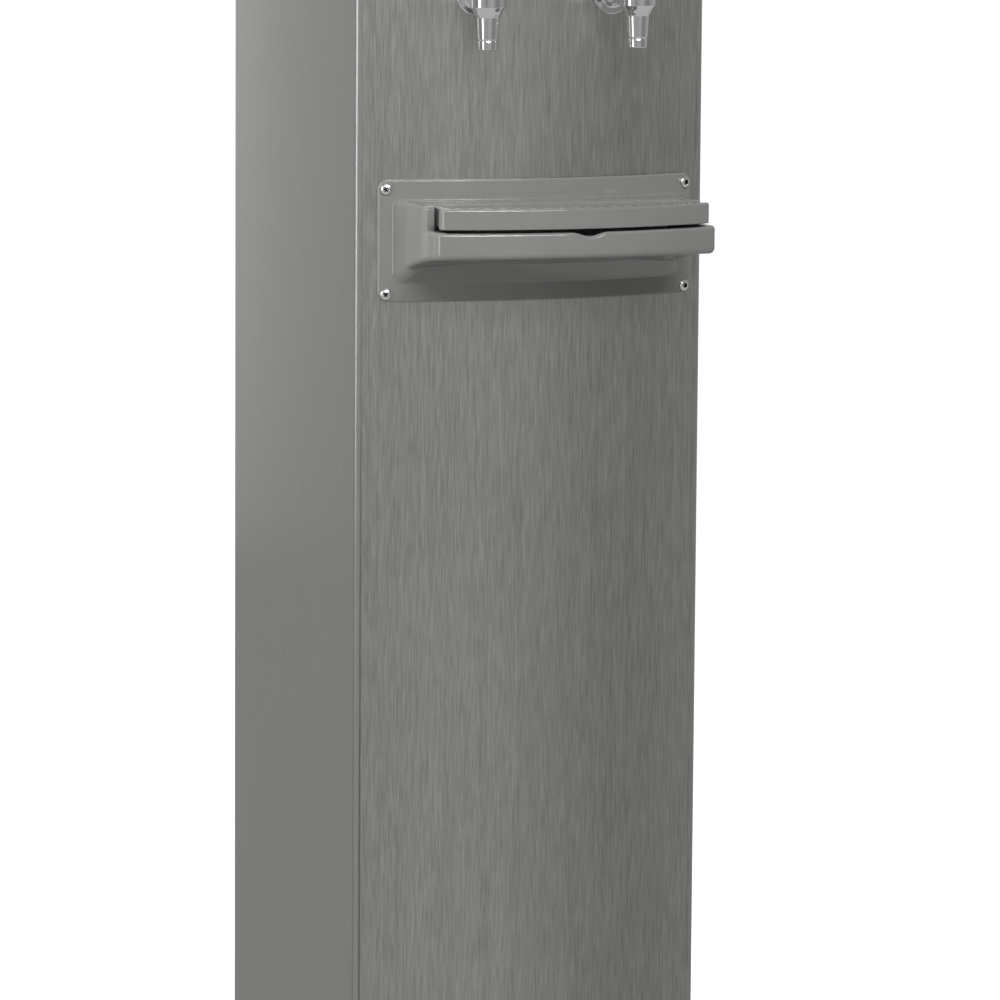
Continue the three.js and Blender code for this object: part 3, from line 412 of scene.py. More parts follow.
def moulded(name, form, low, high, pitch, material, to_row):
    """A mesh of the solid where form(x, y, z) is negative, in millimetres: a point in each grid
    cell that the surface crosses, drawn on to it, and a quad round each grid edge it crosses."""
    pitch = pitch
    sides = [np.arange(low[k] - 2 * pitch, high[k] + 3 * pitch, pitch) for k in range(3)]
    field = form(sides[0][:, None, None], sides[1][None, :, None], sides[2][None, None, :])
    field = np.broadcast_to(field, [len(s) for s in sides])
    inside = field < 0
    full = np.ones([n - 1 for n in inside.shape], bool)
    empty = full.copy()
    for i, j, k in CELL:
        m, n, o = inside.shape
        corner = inside[i:m - 1 + i, j:n - 1 + j, k:o - 1 + k]
        full &= corner
        empty &= ~corner
    cells = np.argwhere(~full & ~empty)
    number = np.full(full.shape, -1)
    number[tuple(cells.T)] = np.arange(len(cells))
    total, share = np.zeros((len(cells), 3)), np.zeros(len(cells))
    for a in CELL:
        for axis in range(3):
            if a[axis]:
                continue
            b = tuple(c + (n == axis) for n, c in enumerate(a))
            fa, fb = field[tuple((cells + a).T)], field[tuple((cells + b).T)]
            hit = (fa < 0) != (fb < 0)
            point = cells + np.array(a, float)
            point[:, axis] += np.where(hit, fa / np.where(hit, fa - fb, 1), 0)
            total += point * hit[:, None]
            share += hit
    points = np.array([s[0] for s in sides]) + total / share[:, None] * pitch
    step = pitch * 0.1

    def slope_at(spots):
        parts = []
        for axis in range(3):
            ahead, behind = spots.copy(), spots.copy()
            ahead[:, axis] += step
            behind[:, axis] -= step
            parts.append((form(*ahead.T) - form(*behind.T)) / (2 * step))
        return np.stack(parts, 1)

    for _ in range(3):
        rise = slope_at(points)
        reach = form(*points.T) / np.maximum((rise**2).sum(1), 0.25)
        points -= rise * np.clip(reach, -pitch * 0.6, pitch * 0.6)[:, None]
    points = np.clip(points, low, high)
    facing = slope_at(points)
    facing = np.where(np.abs(facing).sum(1)[:, None] < 1e-3, (0.0, 0.0, 1.0), facing)
    facing /= np.linalg.norm(facing, axis=1)[:, None]
    quads = []
    for axis in range(3):
        u, v = (axis + 1) % 3, (axis + 2) % 3
        first = np.take(inside, range(inside.shape[axis] - 1), axis)
        second = np.take(inside, range(1, inside.shape[axis]), axis)
        for leaving in (True, False):
            edge = np.argwhere((first != second) & (first == leaving))
            ring = []
            for du, dv in ((0, 0), (1, 0), (1, 1), (0, 1)):
                cell = edge.copy()
                cell[:, u] -= 1 - du
                cell[:, v] -= 1 - dv
                ring.append(number[tuple(cell.T)])
            quads.append(np.stack(ring if leaving else ring[::-1], 1))
    seated = to_row(points)
    facing = to_row(points + facing) - seated
    facing /= np.maximum(np.linalg.norm(facing, axis=1), 1e-9)[:, None]
    quads = np.concatenate(quads)
    a, b, c, d = (seated[quads[:, k]] for k in range(4))
    outward = (np.cross(c - a, d - b) * facing[quads[:, 0]]).sum(1).mean()
    quads = quads if outward > 0 else quads[:, ::-1]
    piece = new_piece(name, seated.tolist(), quads.tolist(), material)
    piece.data.normals_split_custom_set_from_vertices(facing.tolist())
    return piece


def noise_finish(name, base, rough, metal=0.0, grain=0.002, change=0.04, relief=0.1, spread=0.04):
    """A moulded, cast or plated finish: slight drifts of tone, a fine grain in the gloss and in
    the surface, and nothing sharper than the tool or the plating would leave."""
    material, nodes, links, shader = new_material(name, base, rough, metal)
    spot = nodes.new("ShaderNodeTexCoord")

    def noise(scale, detail):
        texture = nodes.new("ShaderNodeTexNoise")
        texture.inputs["Scale"].default_value = scale
        texture.inputs["Detail"].default_value = detail
        links.new(spot.outputs["Object"], texture.inputs["Vector"])
        return texture.outputs["Fac"]

    drift = nodes.new("ShaderNodeValToRGB")
    drift.color_ramp.elements[0].position = 0.3
    drift.color_ramp.elements[0].color = colour([c * (1 - change) for c in base])
    drift.color_ramp.elements[1].position = 0.7
    drift.color_ramp.elements[1].color = colour([min(c * (1 + change), 1) for c in base])
    links.new(noise(28.0, 5.0), drift.inputs["Fac"])
    links.new(drift.outputs["Color"], shader.inputs["Base Color"])
    gloss = nodes.new("ShaderNodeMapRange")
    gloss.inputs["To Min"].default_value = max(rough - spread, 0.02)
    gloss.inputs["To Max"].default_value = min(rough + spread, 1)
    links.new(noise(60.0, 6.0), gloss.inputs["Value"])
    links.new(gloss.outputs["Result"], shader.inputs["Roughness"])
    bump = nodes.new("ShaderNodeBump")
    bump.inputs["Strength"].default_value = relief
    bump.inputs["Distance"].default_value = 0.0001
    links.new(noise(1 / grain, 2.0), bump.inputs["Height"])
    links.new(bump.outputs["Normal"], shader.inputs["Normal"])
    return material


# Tray coordinates, in millimetres: x across, d ahead of the cabinet's front corners, z from the
# grille's top.
def tray_to_row(points):
    x, d, z = points.T * MM
    return np.stack([x, corner_y - d, grille_top + z], 1)


bow_depth = (corner_y - panel_low.y) / MM  # how far the bow stands ahead of the corners
bow_mm = BOW / MM
flange_half = tray_high.x / MM
flange_top = (tray_high.z - grille_top) / MM
flange_low = (tray_low.z - grille_top) / MM
lip_reach = (corner_y - tray_low.y) / MM
FLANGE_BACK, FLANGE_FACE, FLANGE_CORNER = 1.6, 5.1, 8
LIP_BOW = 365
LIP_TOP = -19.5
LIP_CORNER = 5
SIDE_REAR, SIDE_FLARE, FLARE_START = 123.4, 0.0374, 24.5
RAMP_FOOT = 8.6
UNDER_FRONT, UNDER_FALL, UNDER_SWEEP, UNDER_RUN = -42, 2, 13, 104
RAMP_LOW = -70
WALL, LIP_WALL = 3, 5.5
DIAGONAL = 0.707  # keeps a slope of one in one at its true distance
UNDER_SLOPE = 0.97
RAMP_REACH, DRAIN_REACH = 22, 12  # ahead of the panel's face
FLANGE_ROUND, UNDER_ROUND, TOP_ROUND, LIP_ROUND = 1.4, 5, 2.4, 3.2
RAMP_ROUND, RAMP_TOP_ROUND, RAMP_FILLET = 6, 4, 1.2
BASIN_ROUND, MOUTH_ROUND, FLANGE_FILLET, DRAIN_ROUND = 0.7, 1.6, 0.7, 0.5
TRAY_GRID = 1.1
EAR_FRONT, EAR_INNER, DECK_FRONT, EAR_LOW = 80, 116.6, 56, -21.5
SCOOP_X, SCOOP_RADIUS, SCOOP_RISE, SCOOP_RIM, SCOOP_DEEP = 3, 20, 16.4, 3.4, 12
DRAIN_Z, DRAIN_BORE, DRAIN_TUBE, DRAIN_REAR = -52, 6.5, 9, -26


def off_panel(x, d):
    """Distance ahead of the bowed panel's face."""
    return np.hypot(x, d + bow_mm - bow_depth) - bow_mm


def lip_front(x, d, setback=0):
    """Distance ahead of the lip's bowed front, or of a line set back from it."""
    return np.hypot(x, d + LIP_BOW - lip_reach) - LIP_BOW + setback


def tray_form(x, d, z):
    off = off_panel(x, d)
    wide = np.abs(x)
    mid, tall = (flange_top + flange_low) / 2, (flange_top - flange_low) / 2
    flange_plan = plate(x, z - mid, flange_half, tall, FLANGE_CORNER)
    flange = round_keep(between(off, FLANGE_BACK, FLANGE_FACE), flange_plan, FLANGE_ROUND)
    side = wide - SIDE_REAR - SIDE_FLARE * np.maximum(d - FLARE_START, 0)
    back_in = np.clip((lip_reach - d) / UNDER_RUN, 0, 1.3)
    under = (UNDER_FRONT - UNDER_FALL * back_in - UNDER_SWEEP * back_in**2 - z) * UNDER_SLOPE
    shell = round_keep(round_keep(side, lip_front(x, d), LIP_CORNER), under, UNDER_ROUND)
    body = round_keep(shell, z + 0 * x, TOP_ROUND)
    body = round_cut(body, np.maximum(EAR_FRONT - d, LIP_TOP - z), LIP_ROUND)
    rise = off - FLANGE_FACE - RAMP_FOOT
    ramp_side = (wide - SIDE_REAR + rise) * DIAGONAL
    ramp_low = (RAMP_LOW - z + rise + RAMP_FOOT) * DIAGONAL
    ramp = round_keep(round_keep(ramp_side, ramp_low, RAMP_ROUND), z + 0 * x, RAMP_TOP_ROUND)
    ramp = np.maximum(ramp, off - RAMP_REACH)
    solid = round_join(body, ramp, RAMP_FILLET)
    basin = np.maximum(np.maximum(shell, z) + WALL, FLANGE_FACE - off)
    basin = np.maximum(basin, lip_front(x, d, LIP_WALL))
    basin = np.maximum(basin, np.minimum(wide - EAR_INNER, z - EAR_LOW))
    solid = round_cut(solid, basin, BASIN_ROUND)
    mouth = np.maximum(np.maximum(wide - EAR_INNER, DECK_FRONT - d), LIP_TOP - z)
    solid = round_cut(solid, mouth, MOUTH_ROUND)
    scoop = disc(x - SCOOP_X, z - LIP_TOP - SCOOP_RISE, SCOOP_RADIUS)
    solid = round_cut(solid, np.maximum(scoop, lip_reach - SCOOP_DEEP - d), SCOOP_RIM)
    spigot = np.maximum(disc(x, z - DRAIN_Z, DRAIN_TUBE), between(off, DRAIN_REAR, FLANGE_FACE))
    solid = np.minimum(np.maximum(solid, FLANGE_BACK - off), spigot)
    solid = round_join(flange, solid, FLANGE_FILLET)
    drain = np.maximum(disc(x, z - DRAIN_Z, DRAIN_BORE), off - DRAIN_REACH)
    return round_cut(solid, drain, DRAIN_ROUND)


grey_plastic = noise_finish("grey_plastic", (0.255, 0.255, 0.248), 0.07, grain=0.004, relief=0.03)
gloss = grey_plastic.node_tree.nodes["Principled BSDF"].inputs["Specular IOR Level"]
gloss.default_value = 0.95
tray_box = [(-flange_half, -2, flange_low), (flange_half, lip_reach, flange_top)]
tray = moulded("drip_tray_moulding", tray_form, *tray_box, TRAY_GRID, grey_plastic, tray_to_row)
place(tray, "cabinet", "grey_plastic", "drip_tray")


# ---- Drip grille -------------------------------------------------------------------------------
# A second moulding that lies between the tray's side walls: a dished plate with a row of drain
# slots behind its front rim, hung on two short pins at its rear corners.
NECK, SHOULDER, SHOULDER_REAR = 114, 122, 103
SETBACK = 4
SKIRT = -17.5
HINGE_D, HINGE_Z, HINGE_PIN = 61, -3, 1.8
PLATE, SKIRT_WALL = 2.6, 2.4
DISH, DISH_RIM = 1.8, 7
SLOT_PITCH, SLOT_HALF, SLOTS_EACH_SIDE = 12.4, 2.2, 8
SLOT_AHEAD, SLOT_BEHIND = 14, 36  # where the slots start and end, behind the lip's front
CAP_ROUND, SKIRT_ROUND, DISH_ROUND, HOLLOW_ROUND, SLOT_ROUND = 2.0, 0.9, 1.7, 0.6, 0.5
BARREL, PIN_OUT, PIN_ROUND, BARREL_FILLET = 3, 5.2, 0.4, 0.8
GRILLE_GRID = 0.75


def grille_form(x, d, z):
    wide = np.abs(x)
    side = np.minimum(wide - NECK, np.maximum(wide - SHOULDER, SHOULDER_REAR - d))
    outline = round_keep(side, lip_front(x, d, SETBACK), LIP_CORNER)
    outline = np.maximum(outline, HINGE_D - d)
    cap = round_keep(round_keep(outline, z + 0 * x, CAP_ROUND), SKIRT - z, SKIRT_ROUND)
    dish = np.maximum(np.maximum(outline + DISH_RIM, wide - NECK + DISH_RIM), -z - DISH)
    solid = round_cut(cap, dish, DISH_ROUND)
    hollow = np.maximum(outline + SKIRT_WALL, z + DISH + PLATE)
    solid = round_cut(solid, hollow, HOLLOW_ROUND)
    nearest = np.clip(np.round(x / SLOT_PITCH), -SLOTS_EACH_SIDE, SLOTS_EACH_SIDE)
    slot_x = x - SLOT_PITCH * nearest
    behind = -lip_front(x, d)
    slot_d = np.maximum(between(behind, SLOT_AHEAD + SLOT_HALF, SLOT_BEHIND - SLOT_HALF), 0)
    solid = round_cut(solid, np.hypot(slot_x, slot_d) - SLOT_HALF, SLOT_ROUND)
    hinge = disc(d - HINGE_D, z - HINGE_Z, BARREL)
    barrel = np.maximum(hinge, wide - NECK)
    pins = round_keep(disc(d - HINGE_D, z - HINGE_Z, HINGE_PIN), wide - NECK - PIN_OUT, PIN_ROUND)
    return np.minimum(round_join(solid, barrel, BARREL_FILLET), pins)


grille_box = [(-SHOULDER, HINGE_D - 4, SKIRT), (SHOULDER, lip_reach - SETBACK, 0)]
grille = moulded(
    "drip_grille_moulding", grille_form, *grille_box, GRILLE_GRID, grey_plastic, tray_to_row)
place(grille, "grille", "grey_plastic", "drip_grille")


# ---- Tray screws -------------------------------------------------------------------------------
# Four bright stainless pan-head screws with a six-lobed recess hold the tray's flange through
# the front panel, each into a nut welded behind it.
SCREW_SEAT = 5.4  # the flange's face, ahead of the panel's
SCREW_HEAD, SCREW_RISE, SCREW_SHANK, SCREW_TIP = 4.9, 3.1, 2.4, -12
SCREW_DOME, SCREW_ROUND = 8.75, 0.7
RECESS, LOBE, LOBES, RECESS_FLOOR, RECESS_ROUND = 2.0, 0.32, 6, 0.4, 0.18
SCREW_GRID = 0.22


def bow_seat(node):
    """Where a fitting sits on the bow: its angle round the bow's axis, and its height."""
    low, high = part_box(node)
    centre = (low + high) / 2
    return math.atan2(centre.x, bow_y - centre.y), centre.z


def from_bow(angle, height):
    """Fitting coordinates, in millimetres, are u across, d ahead of the panel's face and v up."""
    def to_row(points):
        u, d, v = points.T * MM
        reach = BOW + d
        x = reach * math.sin(angle) + u * math.cos(angle)
        y = bow_y - reach * math.cos(angle) + u * math.sin(angle)
        return np.stack([x, y, height + v], 1)
    return to_row


def screw_form(u, d, v):
    rise = d - SCREW_SEAT
    dome = np.sqrt(u**2 + v**2 + (rise - SCREW_RISE + SCREW_DOME)**2) - SCREW_DOME
    head = round_keep(disc(u, v, SCREW_HEAD), dome, SCREW_ROUND)
    head = np.maximum(head, -rise)
    socket = 0.8 * (disc(u, v, RECESS) - LOBE * np.cos(LOBES * np.arctan2(v, u)))
    head = round_cut(head, np.maximum(socket, RECESS_FLOOR - rise), RECESS_ROUND)
    shank = np.maximum(disc(u, v, SCREW_SHANK), between(d, SCREW_TIP, SCREW_SEAT + 0.5))
    return np.minimum(head, shank)


# BRIGHT is the steel's own colour. The near-black second colour is painted shade for the recesses.
BRIGHT, PAINTED_RECESS_SHADE = (0.80, 0.80, 0.79), (0.015, 0.015, 0.015)
bright_steel = noise_finish("bright_steel", BRIGHT, 0.26, 1.0, grain=0.0006, relief=0.15)
nodes, links = bright_steel.node_tree.nodes, bright_steel.node_tree.links
# Painted shade: ambient occlusion within 4 mm darkens the base colour towards near black in the screw
# recesses, between the spring's turns and in other tight creases.
shade = nodes.new("ShaderNodeAmbientOcclusion")
shade.inputs["Distance"].default_value = 0.004
shade.only_local = True
painted_shade_ramp = nodes.new("ShaderNodeValToRGB")
painted_shade_ramp.color_ramp.elements[0].position = 0.35
painted_shade_ramp.color_ramp.elements[1].position = 0.8
painted_shade_ramp.color_ramp.elements[0].color = colour(PAINTED_RECESS_SHADE)
painted_shade_ramp.color_ramp.elements[1].color = colour(BRIGHT)
links.new(shade.outputs["AO"], painted_shade_ramp.inputs["Fac"])
links.new(painted_shade_ramp.outputs["Color"], nodes["Principled BSDF"].inputs["Base Color"])
screw_top = SCREW_SEAT + SCREW_RISE
screw_box = [(-SCREW_HEAD, SCREW_TIP, -SCREW_HEAD), (SCREW_HEAD, screw_top, SCREW_HEAD)]
for corner in ("upper_left", "upper_right", "lower_left", "lower_right"):
    seat = from_bow(*bow_seat(f"weld_nut_{corner}"))
    screw = moulded(f"pan_screw_{corner}", screw_form, *screw_box, SCREW_GRID, bright_steel, seat)
    place(screw, "cabinet", "bright_steel", f"tray_screw_{corner}")


# ---- Taps --------------------------------------------------------------------------------------
# Two chromed brass taps, each cast in one with its wall plate, arm, valve column and spout. The
# button on top is pressed down against a spring in the column.
TAP_ARM = 45
PLATE_RADIUS, PLATE_THICK, ARM_RADIUS = 19, 4.3, 11.6
COLUMN_RADIUS, COLUMN_LOW, COLUMN_RIM = 15, -16, 18
CHAMBER, CHAMBER_FLOOR = 10, -8
SPOUT_TOP, SPOUT_TIP, SPOUT_END = 10, 8, -45
SPOUT_RUN, SPOUT_RING = 31, 8
NARROW_LOW, NARROW_HIGH = -9, 15  # where the column starts to draw in, below and above
MOUTH = 4.8
SHANK_RADIUS, SHANK_REAR = 8, -34
BUTTON_RADIUS, BUTTON_LOW, BUTTON_HIGH = 13.5, 24.6, 32.6
BUTTON_WELL, BUTTON_WELL_FLOOR = 10.5, 31.8
BUTTON_RIBS, RIB_DEEP, RIB_MIDDLE, RIB_HALF = 24, 0.175, 28, 2.4
STEM_RADIUS, STEM_LOW, STEM_HIGH = 9.3, 4, 26


def tap_form(u, d, v):
    out = d - TAP_ARM
    along = np.hypot(u, v)
    slant = along - PLATE_RADIUS + 0.25 * np.maximum(d - 2, 0)
    wall = round_keep(slant, between(d, 0.3, PLATE_THICK), 0.9)
    waist = ARM_RADIUS - 1.6 * np.sin(np.clip(d / TAP_ARM, 0, 1) * math.pi)
    arm = np.maximum(along - waist, between(d, 1, TAP_ARM))
    round_out = np.hypot(u, out)
    narrow = np.maximum(NARROW_LOW - v, 0) * 0.7 + np.maximum(v - NARROW_HIGH, 0) * 0.4
    column = round_out - COLUMN_RADIUS + narrow
    column = round_keep(column, between(v, COLUMN_LOW, COLUMN_RIM), 1.2)
    taper = SPOUT_TIP + (SPOUT_TOP - SPOUT_TIP) * np.clip((v - SPOUT_END) / SPOUT_RUN, 0, 1)
    ring = 0.5 * np.exp(-((v - SPOUT_END - SPOUT_RING) / 0.8)**2)
    spout = round_keep(round_out - taper + ring, between(v, SPOUT_END, 0), 0.8)
    solid = round_join(round_join(wall, arm, 3.0), round_join(column, spout, 3.0), 4.0)
    chamber = np.maximum(round_out - CHAMBER, CHAMBER_FLOOR - v)
    solid = round_cut(solid, chamber, 0.5)
    solid = round_cut(solid, np.maximum(round_out - MOUTH, v - CHAMBER_FLOOR - 1), 0.6)
    shank = np.maximum(along - SHANK_RADIUS, between(d, SHANK_REAR, 2))
    return np.minimum(solid, shank)


def button_form(u, d, v):
    round_out = np.hypot(u, d - TAP_ARM)
    head = round_keep(round_out - BUTTON_RADIUS, between(v, BUTTON_LOW, BUTTON_HIGH), 1.6)
    well = np.maximum(BUTTON_WELL_FLOOR - v, round_out - BUTTON_WELL)
    ribs = RIB_DEEP * np.cos(BUTTON_RIBS * np.arctan2(d - TAP_ARM, u))
    head = np.maximum(head, -well) + ribs * (np.abs(v - RIB_MIDDLE) < RIB_HALF)
    stem = np.maximum(round_out - STEM_RADIUS, between(v, STEM_LOW, STEM_HIGH))
    return np.minimum(head, stem)


chrome = noise_finish(
    "chrome", (0.80, 0.81, 0.82), 0.07, 1.0, grain=0.003, change=0.02, relief=0.03, spread=0.03)
dark_plastic = noise_finish(
    "dark_plastic", (0.022, 0.023, 0.025), 0.42, grain=0.0007, change=0.1, relief=0.4)
tap_front = TAP_ARM + COLUMN_RADIUS
tap_box = [(-PLATE_RADIUS, SHANK_REAR, SPOUT_END), (PLATE_RADIUS, tap_front, PLATE_RADIUS)]
button_box = [(-14, TAP_ARM - 14, STEM_LOW), (14, TAP_ARM + 14, 33)]
WIRE, TURNS = 0.0007, 3
TURN_STEPS, WIRE_STEPS = 32, 12


def coil_spring(name, low, high):
    """Round wire wound upright between two heights, cut square at both ends."""
    middle_x, middle_y = (low.x + high.x) / 2, (low.y + high.y) / 2
    winding = (high.x - low.x) / 2 - WIRE
    count = TURNS * TURN_STEPS
    points = []
    for step in range(count + 1):
        turn = 2 * math.pi * step / TURN_STEPS
        height = low.z + WIRE + (high.z - low.z - 2 * WIRE) * step / count
        for part in range(WIRE_STEPS):
            around = 2 * math.pi * part / WIRE_STEPS
            reach = winding + WIRE * math.cos(around)
            points.append((middle_x + reach * math.cos(turn), middle_y + reach * math.sin(turn),
                           height + WIRE * math.sin(around)))
    faces = [list(range(WIRE_STEPS))[::-1]]
    for step in range(count):
        for part in range(WIRE_STEPS):
            start, after = step * WIRE_STEPS, (part + 1) % WIRE_STEPS
            faces.append((start + part, start + after, start + WIRE_STEPS + after,
                          start + WIRE_STEPS + part))
    faces.append([count * WIRE_STEPS + part for part in range(WIRE_STEPS)])
    return new_piece(name, points, faces, bright_steel)


for side in ("left", "right"):
    seat = from_bow(*bow_seat(f"tap_nut_{side}"))
    tap = moulded(f"tap_casting_{side}", tap_form, *tap_box, 0.8, chrome, seat)
    place(tap, "cabinet", "chrome", f"tap_body_{side}")
    button = moulded(f"tap_push_{side}", button_form, *button_box, 0.6, dark_plastic, seat)
    place(button, f"button_{side}", "dark_plastic", f"tap_button_{side}")
    spring = coil_spring(f"coil_spring_{side}", *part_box(f"tap_spring_{side}"))
    place(spring, "cabinet", "bright_steel", f"tap_spring_{side}")
    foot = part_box(f"tap_spring_{side}")[0]
    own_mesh(spring)


# ---- Top cover ---------------------------------------------------------------------------------
# A grey moulded cap that drops over the four panels and follows the bow. Its top is flat and
# satin, with a softened edge and a shallow step a finger's width in.
cover_low, cover_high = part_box("top_cover")
cover_depth = (cover_high.y - corner_y) / MM
cover_tall = (cover_high.z - cover_low.z) / MM
cover_half = cover_high.x / MM
COVER_EDGE, COVER_FRONT_CORNER, COVER_CORNER = 3, 2, 4
COVER_WALL, COVER_PLATE = 6, 3
STEP_IN, STEP_DEEP, STEP_ROUND = 12, 0.8, 0.6
COVER_GRID = 1.5


def cover_to_row(points):
    x, d, z = points.T * MM
    return np.stack([x, corner_y - d, cover_high.z + z], 1)


def cover_form(x, d, z):
    sides = round_keep(np.abs(x) - cover_half, off_panel(x, d), COVER_FRONT_CORNER)
    plan = round_keep(sides, -d - cover_depth, COVER_CORNER)
    cap = np.maximum(round_keep(plan, z + 0 * x, COVER_EDGE), -cover_tall - z)
    step = np.maximum(plan + STEP_IN, -z - STEP_DEEP)
    cap = round_cut(cap, step, STEP_ROUND)
    return np.maximum(cap, -np.maximum(plan + COVER_WALL, z + COVER_PLATE))


cover_box = [(-cover_half, -cover_depth, -cover_tall), (cover_half, bow_depth, 0)]
satin_plastic = noise_finish("satin_plastic", (0.26, 0.26, 0.253), 0.5, grain=0.001, relief=0.2)
cover = moulded("top_cap", cover_form, *cover_box, COVER_GRID, satin_plastic, cover_to_row)
place(cover, "cabinet", "grey_plastic", "top_cover")


# ---- Levelling feet ----------------------------------------------------------------------------
# Four rubber-soled feet on threaded stems, screwed up into the base pan. Each has a flared sole
# and a ribbed collar for the fingers.
rubber = noise_finish("rubber", (0.018, 0.018, 0.019), 0.75, grain=0.0006, change=0.15, relief=0.6)


def from_point(centre):
    def to_row(points):
        x, y, z = points.T * MM
        return np.stack([centre[0] + x, centre[1] + y, centre[2] + z], 1)
    return to_row


foot_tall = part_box("levelling_foot_front_left")[1].z / MM
SOLE_RADIUS, SOLE_TOP, SOLE_RIM, SOLE_SLOPE = 19, 11, 6, 1.8
COLLAR_RADIUS, COLLAR_TOP, COLLAR_RIBS = 9.4, 23.7, 20
STEM, THREAD_PITCH, THREAD_DEEP = 4.5, 1.5, 0.25


def foot_form(x, y, z):
    out = np.hypot(x, y)
    ribs = 0.4 * np.cos(COLLAR_RIBS * np.arctan2(y, x))
    flare = out - SOLE_RADIUS + np.maximum(z - SOLE_RIM, 0) * SOLE_SLOPE
    sole = round_keep(flare, between(z, 0, SOLE_TOP), 1.4)
    collar = round_keep(out - COLLAR_RADIUS - ribs, between(z, 4, COLLAR_TOP), 0.6)
    thread = THREAD_DEEP * np.sin(2 * math.pi * z / THREAD_PITCH + np.arctan2(y, x))
    stem = np.maximum(out - STEM - thread, between(z, 20, foot_tall))
    return np.minimum(round_join(sole, collar, 1.5), stem)


foot_box = [(-SOLE_RADIUS, -SOLE_RADIUS, 0), (SOLE_RADIUS, SOLE_RADIUS, foot_tall)]
for corner in ("front_left", "front_right", "rear_left", "rear_right"):
    low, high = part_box(f"levelling_foot_{corner}")
    seat = from_point(((low.x + high.x) / 2, (low.y + high.y) / 2, low.z))
    foot = moulded(f"foot_{corner}", foot_form, *foot_box, 0.7, rubber, seat)
    place(foot, "cabinet", "rubber", f"levelling_foot_{corner}")


# ---- Rear fittings -----------------------------------------------------------------------------
# On the rear panel: a thermostat knob, a rocker switch over a mains socket, the threaded inlet of
# the solenoid valve, and the barbed waste outlet. Their third axis runs out of the back.
rear_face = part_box("rear_panel")[1].y
back_out = (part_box("inlet_valve")[1].y - rear_face) / MM  # how far the fittings stand out


def from_back(node):
    """Fitting coordinates, in millimetres, about the middle of a node: x, out of the back, up."""
    low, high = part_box(node)
    return from_point(((low.x + high.x) / 2, rear_face, (low.z + high.z) / 2))


KNOB_GAP, KNOB_RADIUS, KNOB_TALL, KNOB_SHAFT = 1.8, 15, 11, -10.2


def knob_form(x, y, z):
    out, rise = np.hypot(x, z), y - KNOB_GAP
    flutes = 0.45 * np.cos(18 * np.arctan2(z, x)) * (rise > 2.4)
    rim = out - KNOB_RADIUS + 0.5 + 0.08 * rise + flutes
    grip = round_keep(rim, between(rise, 0, KNOB_TALL), 1.0)
    pointer = np.maximum(plate(x, z - 9.5, 0.8, 4.5, 0.6), KNOB_TALL - 0.8 - rise)
    shaft = np.maximum(out - 3, between(y, KNOB_SHAFT, KNOB_GAP + 1))
    return np.minimum(round_cut(grip, pointer, 0.2), shaft)


knob_box = [(-KNOB_RADIUS, KNOB_SHAFT, -KNOB_RADIUS), (KNOB_RADIUS, KNOB_GAP + KNOB_TALL, KNOB_RADIUS)]
seat = from_back("thermostat_knob")
knob = moulded("thermostat_grip", knob_form, *knob_box, 0.6, dark_plastic, seat)
place(knob, "knob", "dark_plastic", "thermostat_knob")

SWITCH_X, SWITCH_Z, BEZEL_OUT, BEZEL_RIM, BODY_DEEP = 11, 15, 3, 3, 18
SOCKET_X, SOCKET_Z = 15, 12
ROCKER_TILT, RIDGE_PITCH = math.radians(9), 1.6


def bezel(x, y, z, half_x, half_z):
    """A snap-in housing: a body through the panel and a rounded rim that lies on it."""
    rim = plate(x, z, half_x + BEZEL_RIM, half_z + BEZEL_RIM, 2.5)
    rim = round_keep(rim, between(y, 0.3, BEZEL_OUT), 0.9)
    body = np.maximum(plate(x, z, half_x, half_z, 1), between(y, -BODY_DEEP, 1))
    return np.minimum(rim, body)


def switch_form(x, y, z):
    well = np.maximum(plate(x, z, 8, 12, 1), -9 - y)
    return round_cut(bezel(x, y, z, SWITCH_X, SWITCH_Z), well, 0.4)


def rocker_form(x, y, z):
    lift = np.where(z < 0, -z * 2 * math.tan(ROCKER_TILT), 0)
    face = y - 0.3 - lift
    heel = -y - 7 + np.abs(z) * 0.32
    ridge = 0.15 * np.cos(2 * math.pi * z / RIDGE_PITCH) * (np.abs(np.abs(z) - 7) < 2)
    return round_keep(plate(x, z, 7.4, 10.6, 0.8), np.maximum(face + ridge, heel), 0.5)


def socket_form(x, y, z):
    chamfer = np.maximum(np.abs(x) + z - 16.5, 0)
    well = np.maximum(np.maximum(plate(x, z, 12, 8.5, 1.5), chamfer), -14 - y)
    solid = round_cut(bezel(x, y, z, SOCKET_X, SOCKET_Z), well, 0.5)
    blades = np.minimum(plate(np.abs(x) - 7, z + 1, 2, 1, 0.4), plate(x, z - 3, 2, 1, 0.4))
    return np.minimum(solid, round_keep(blades, between(y, -16, -2), 0.4))


for name, form, half_x, half_z, node, body in (
    ("rocker_housing", switch_form, 14, 18, "power_switch", "cabinet"),
    ("rocker_cap", rocker_form, 8, 11, "switch_rocker", "rocker"),
    ("mains_inlet", socket_form, 18, 15, "power_socket", "cabinet"),
):
    reach = [(-half_x, -BODY_DEEP, -half_z), (half_x, 5, half_z)]
    fitting = moulded(name, form, *reach, 0.45, dark_plastic, from_back(node))
    place(fitting, body, "dark_plastic", node)


def nut_form(x, z, across_flats):
    """A hexagon with two flats upright."""
    sixth = math.pi / 3
    turned = np.maximum(np.abs(x) * math.cos(sixth) + np.abs(z) * math.sin(sixth), np.abs(x))
    return turned - across_flats / 2


inlet_low, inlet_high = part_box("inlet_valve")
inlet_x = (inlet_low.x + inlet_high.x) / 2
INLET_DROP = 17


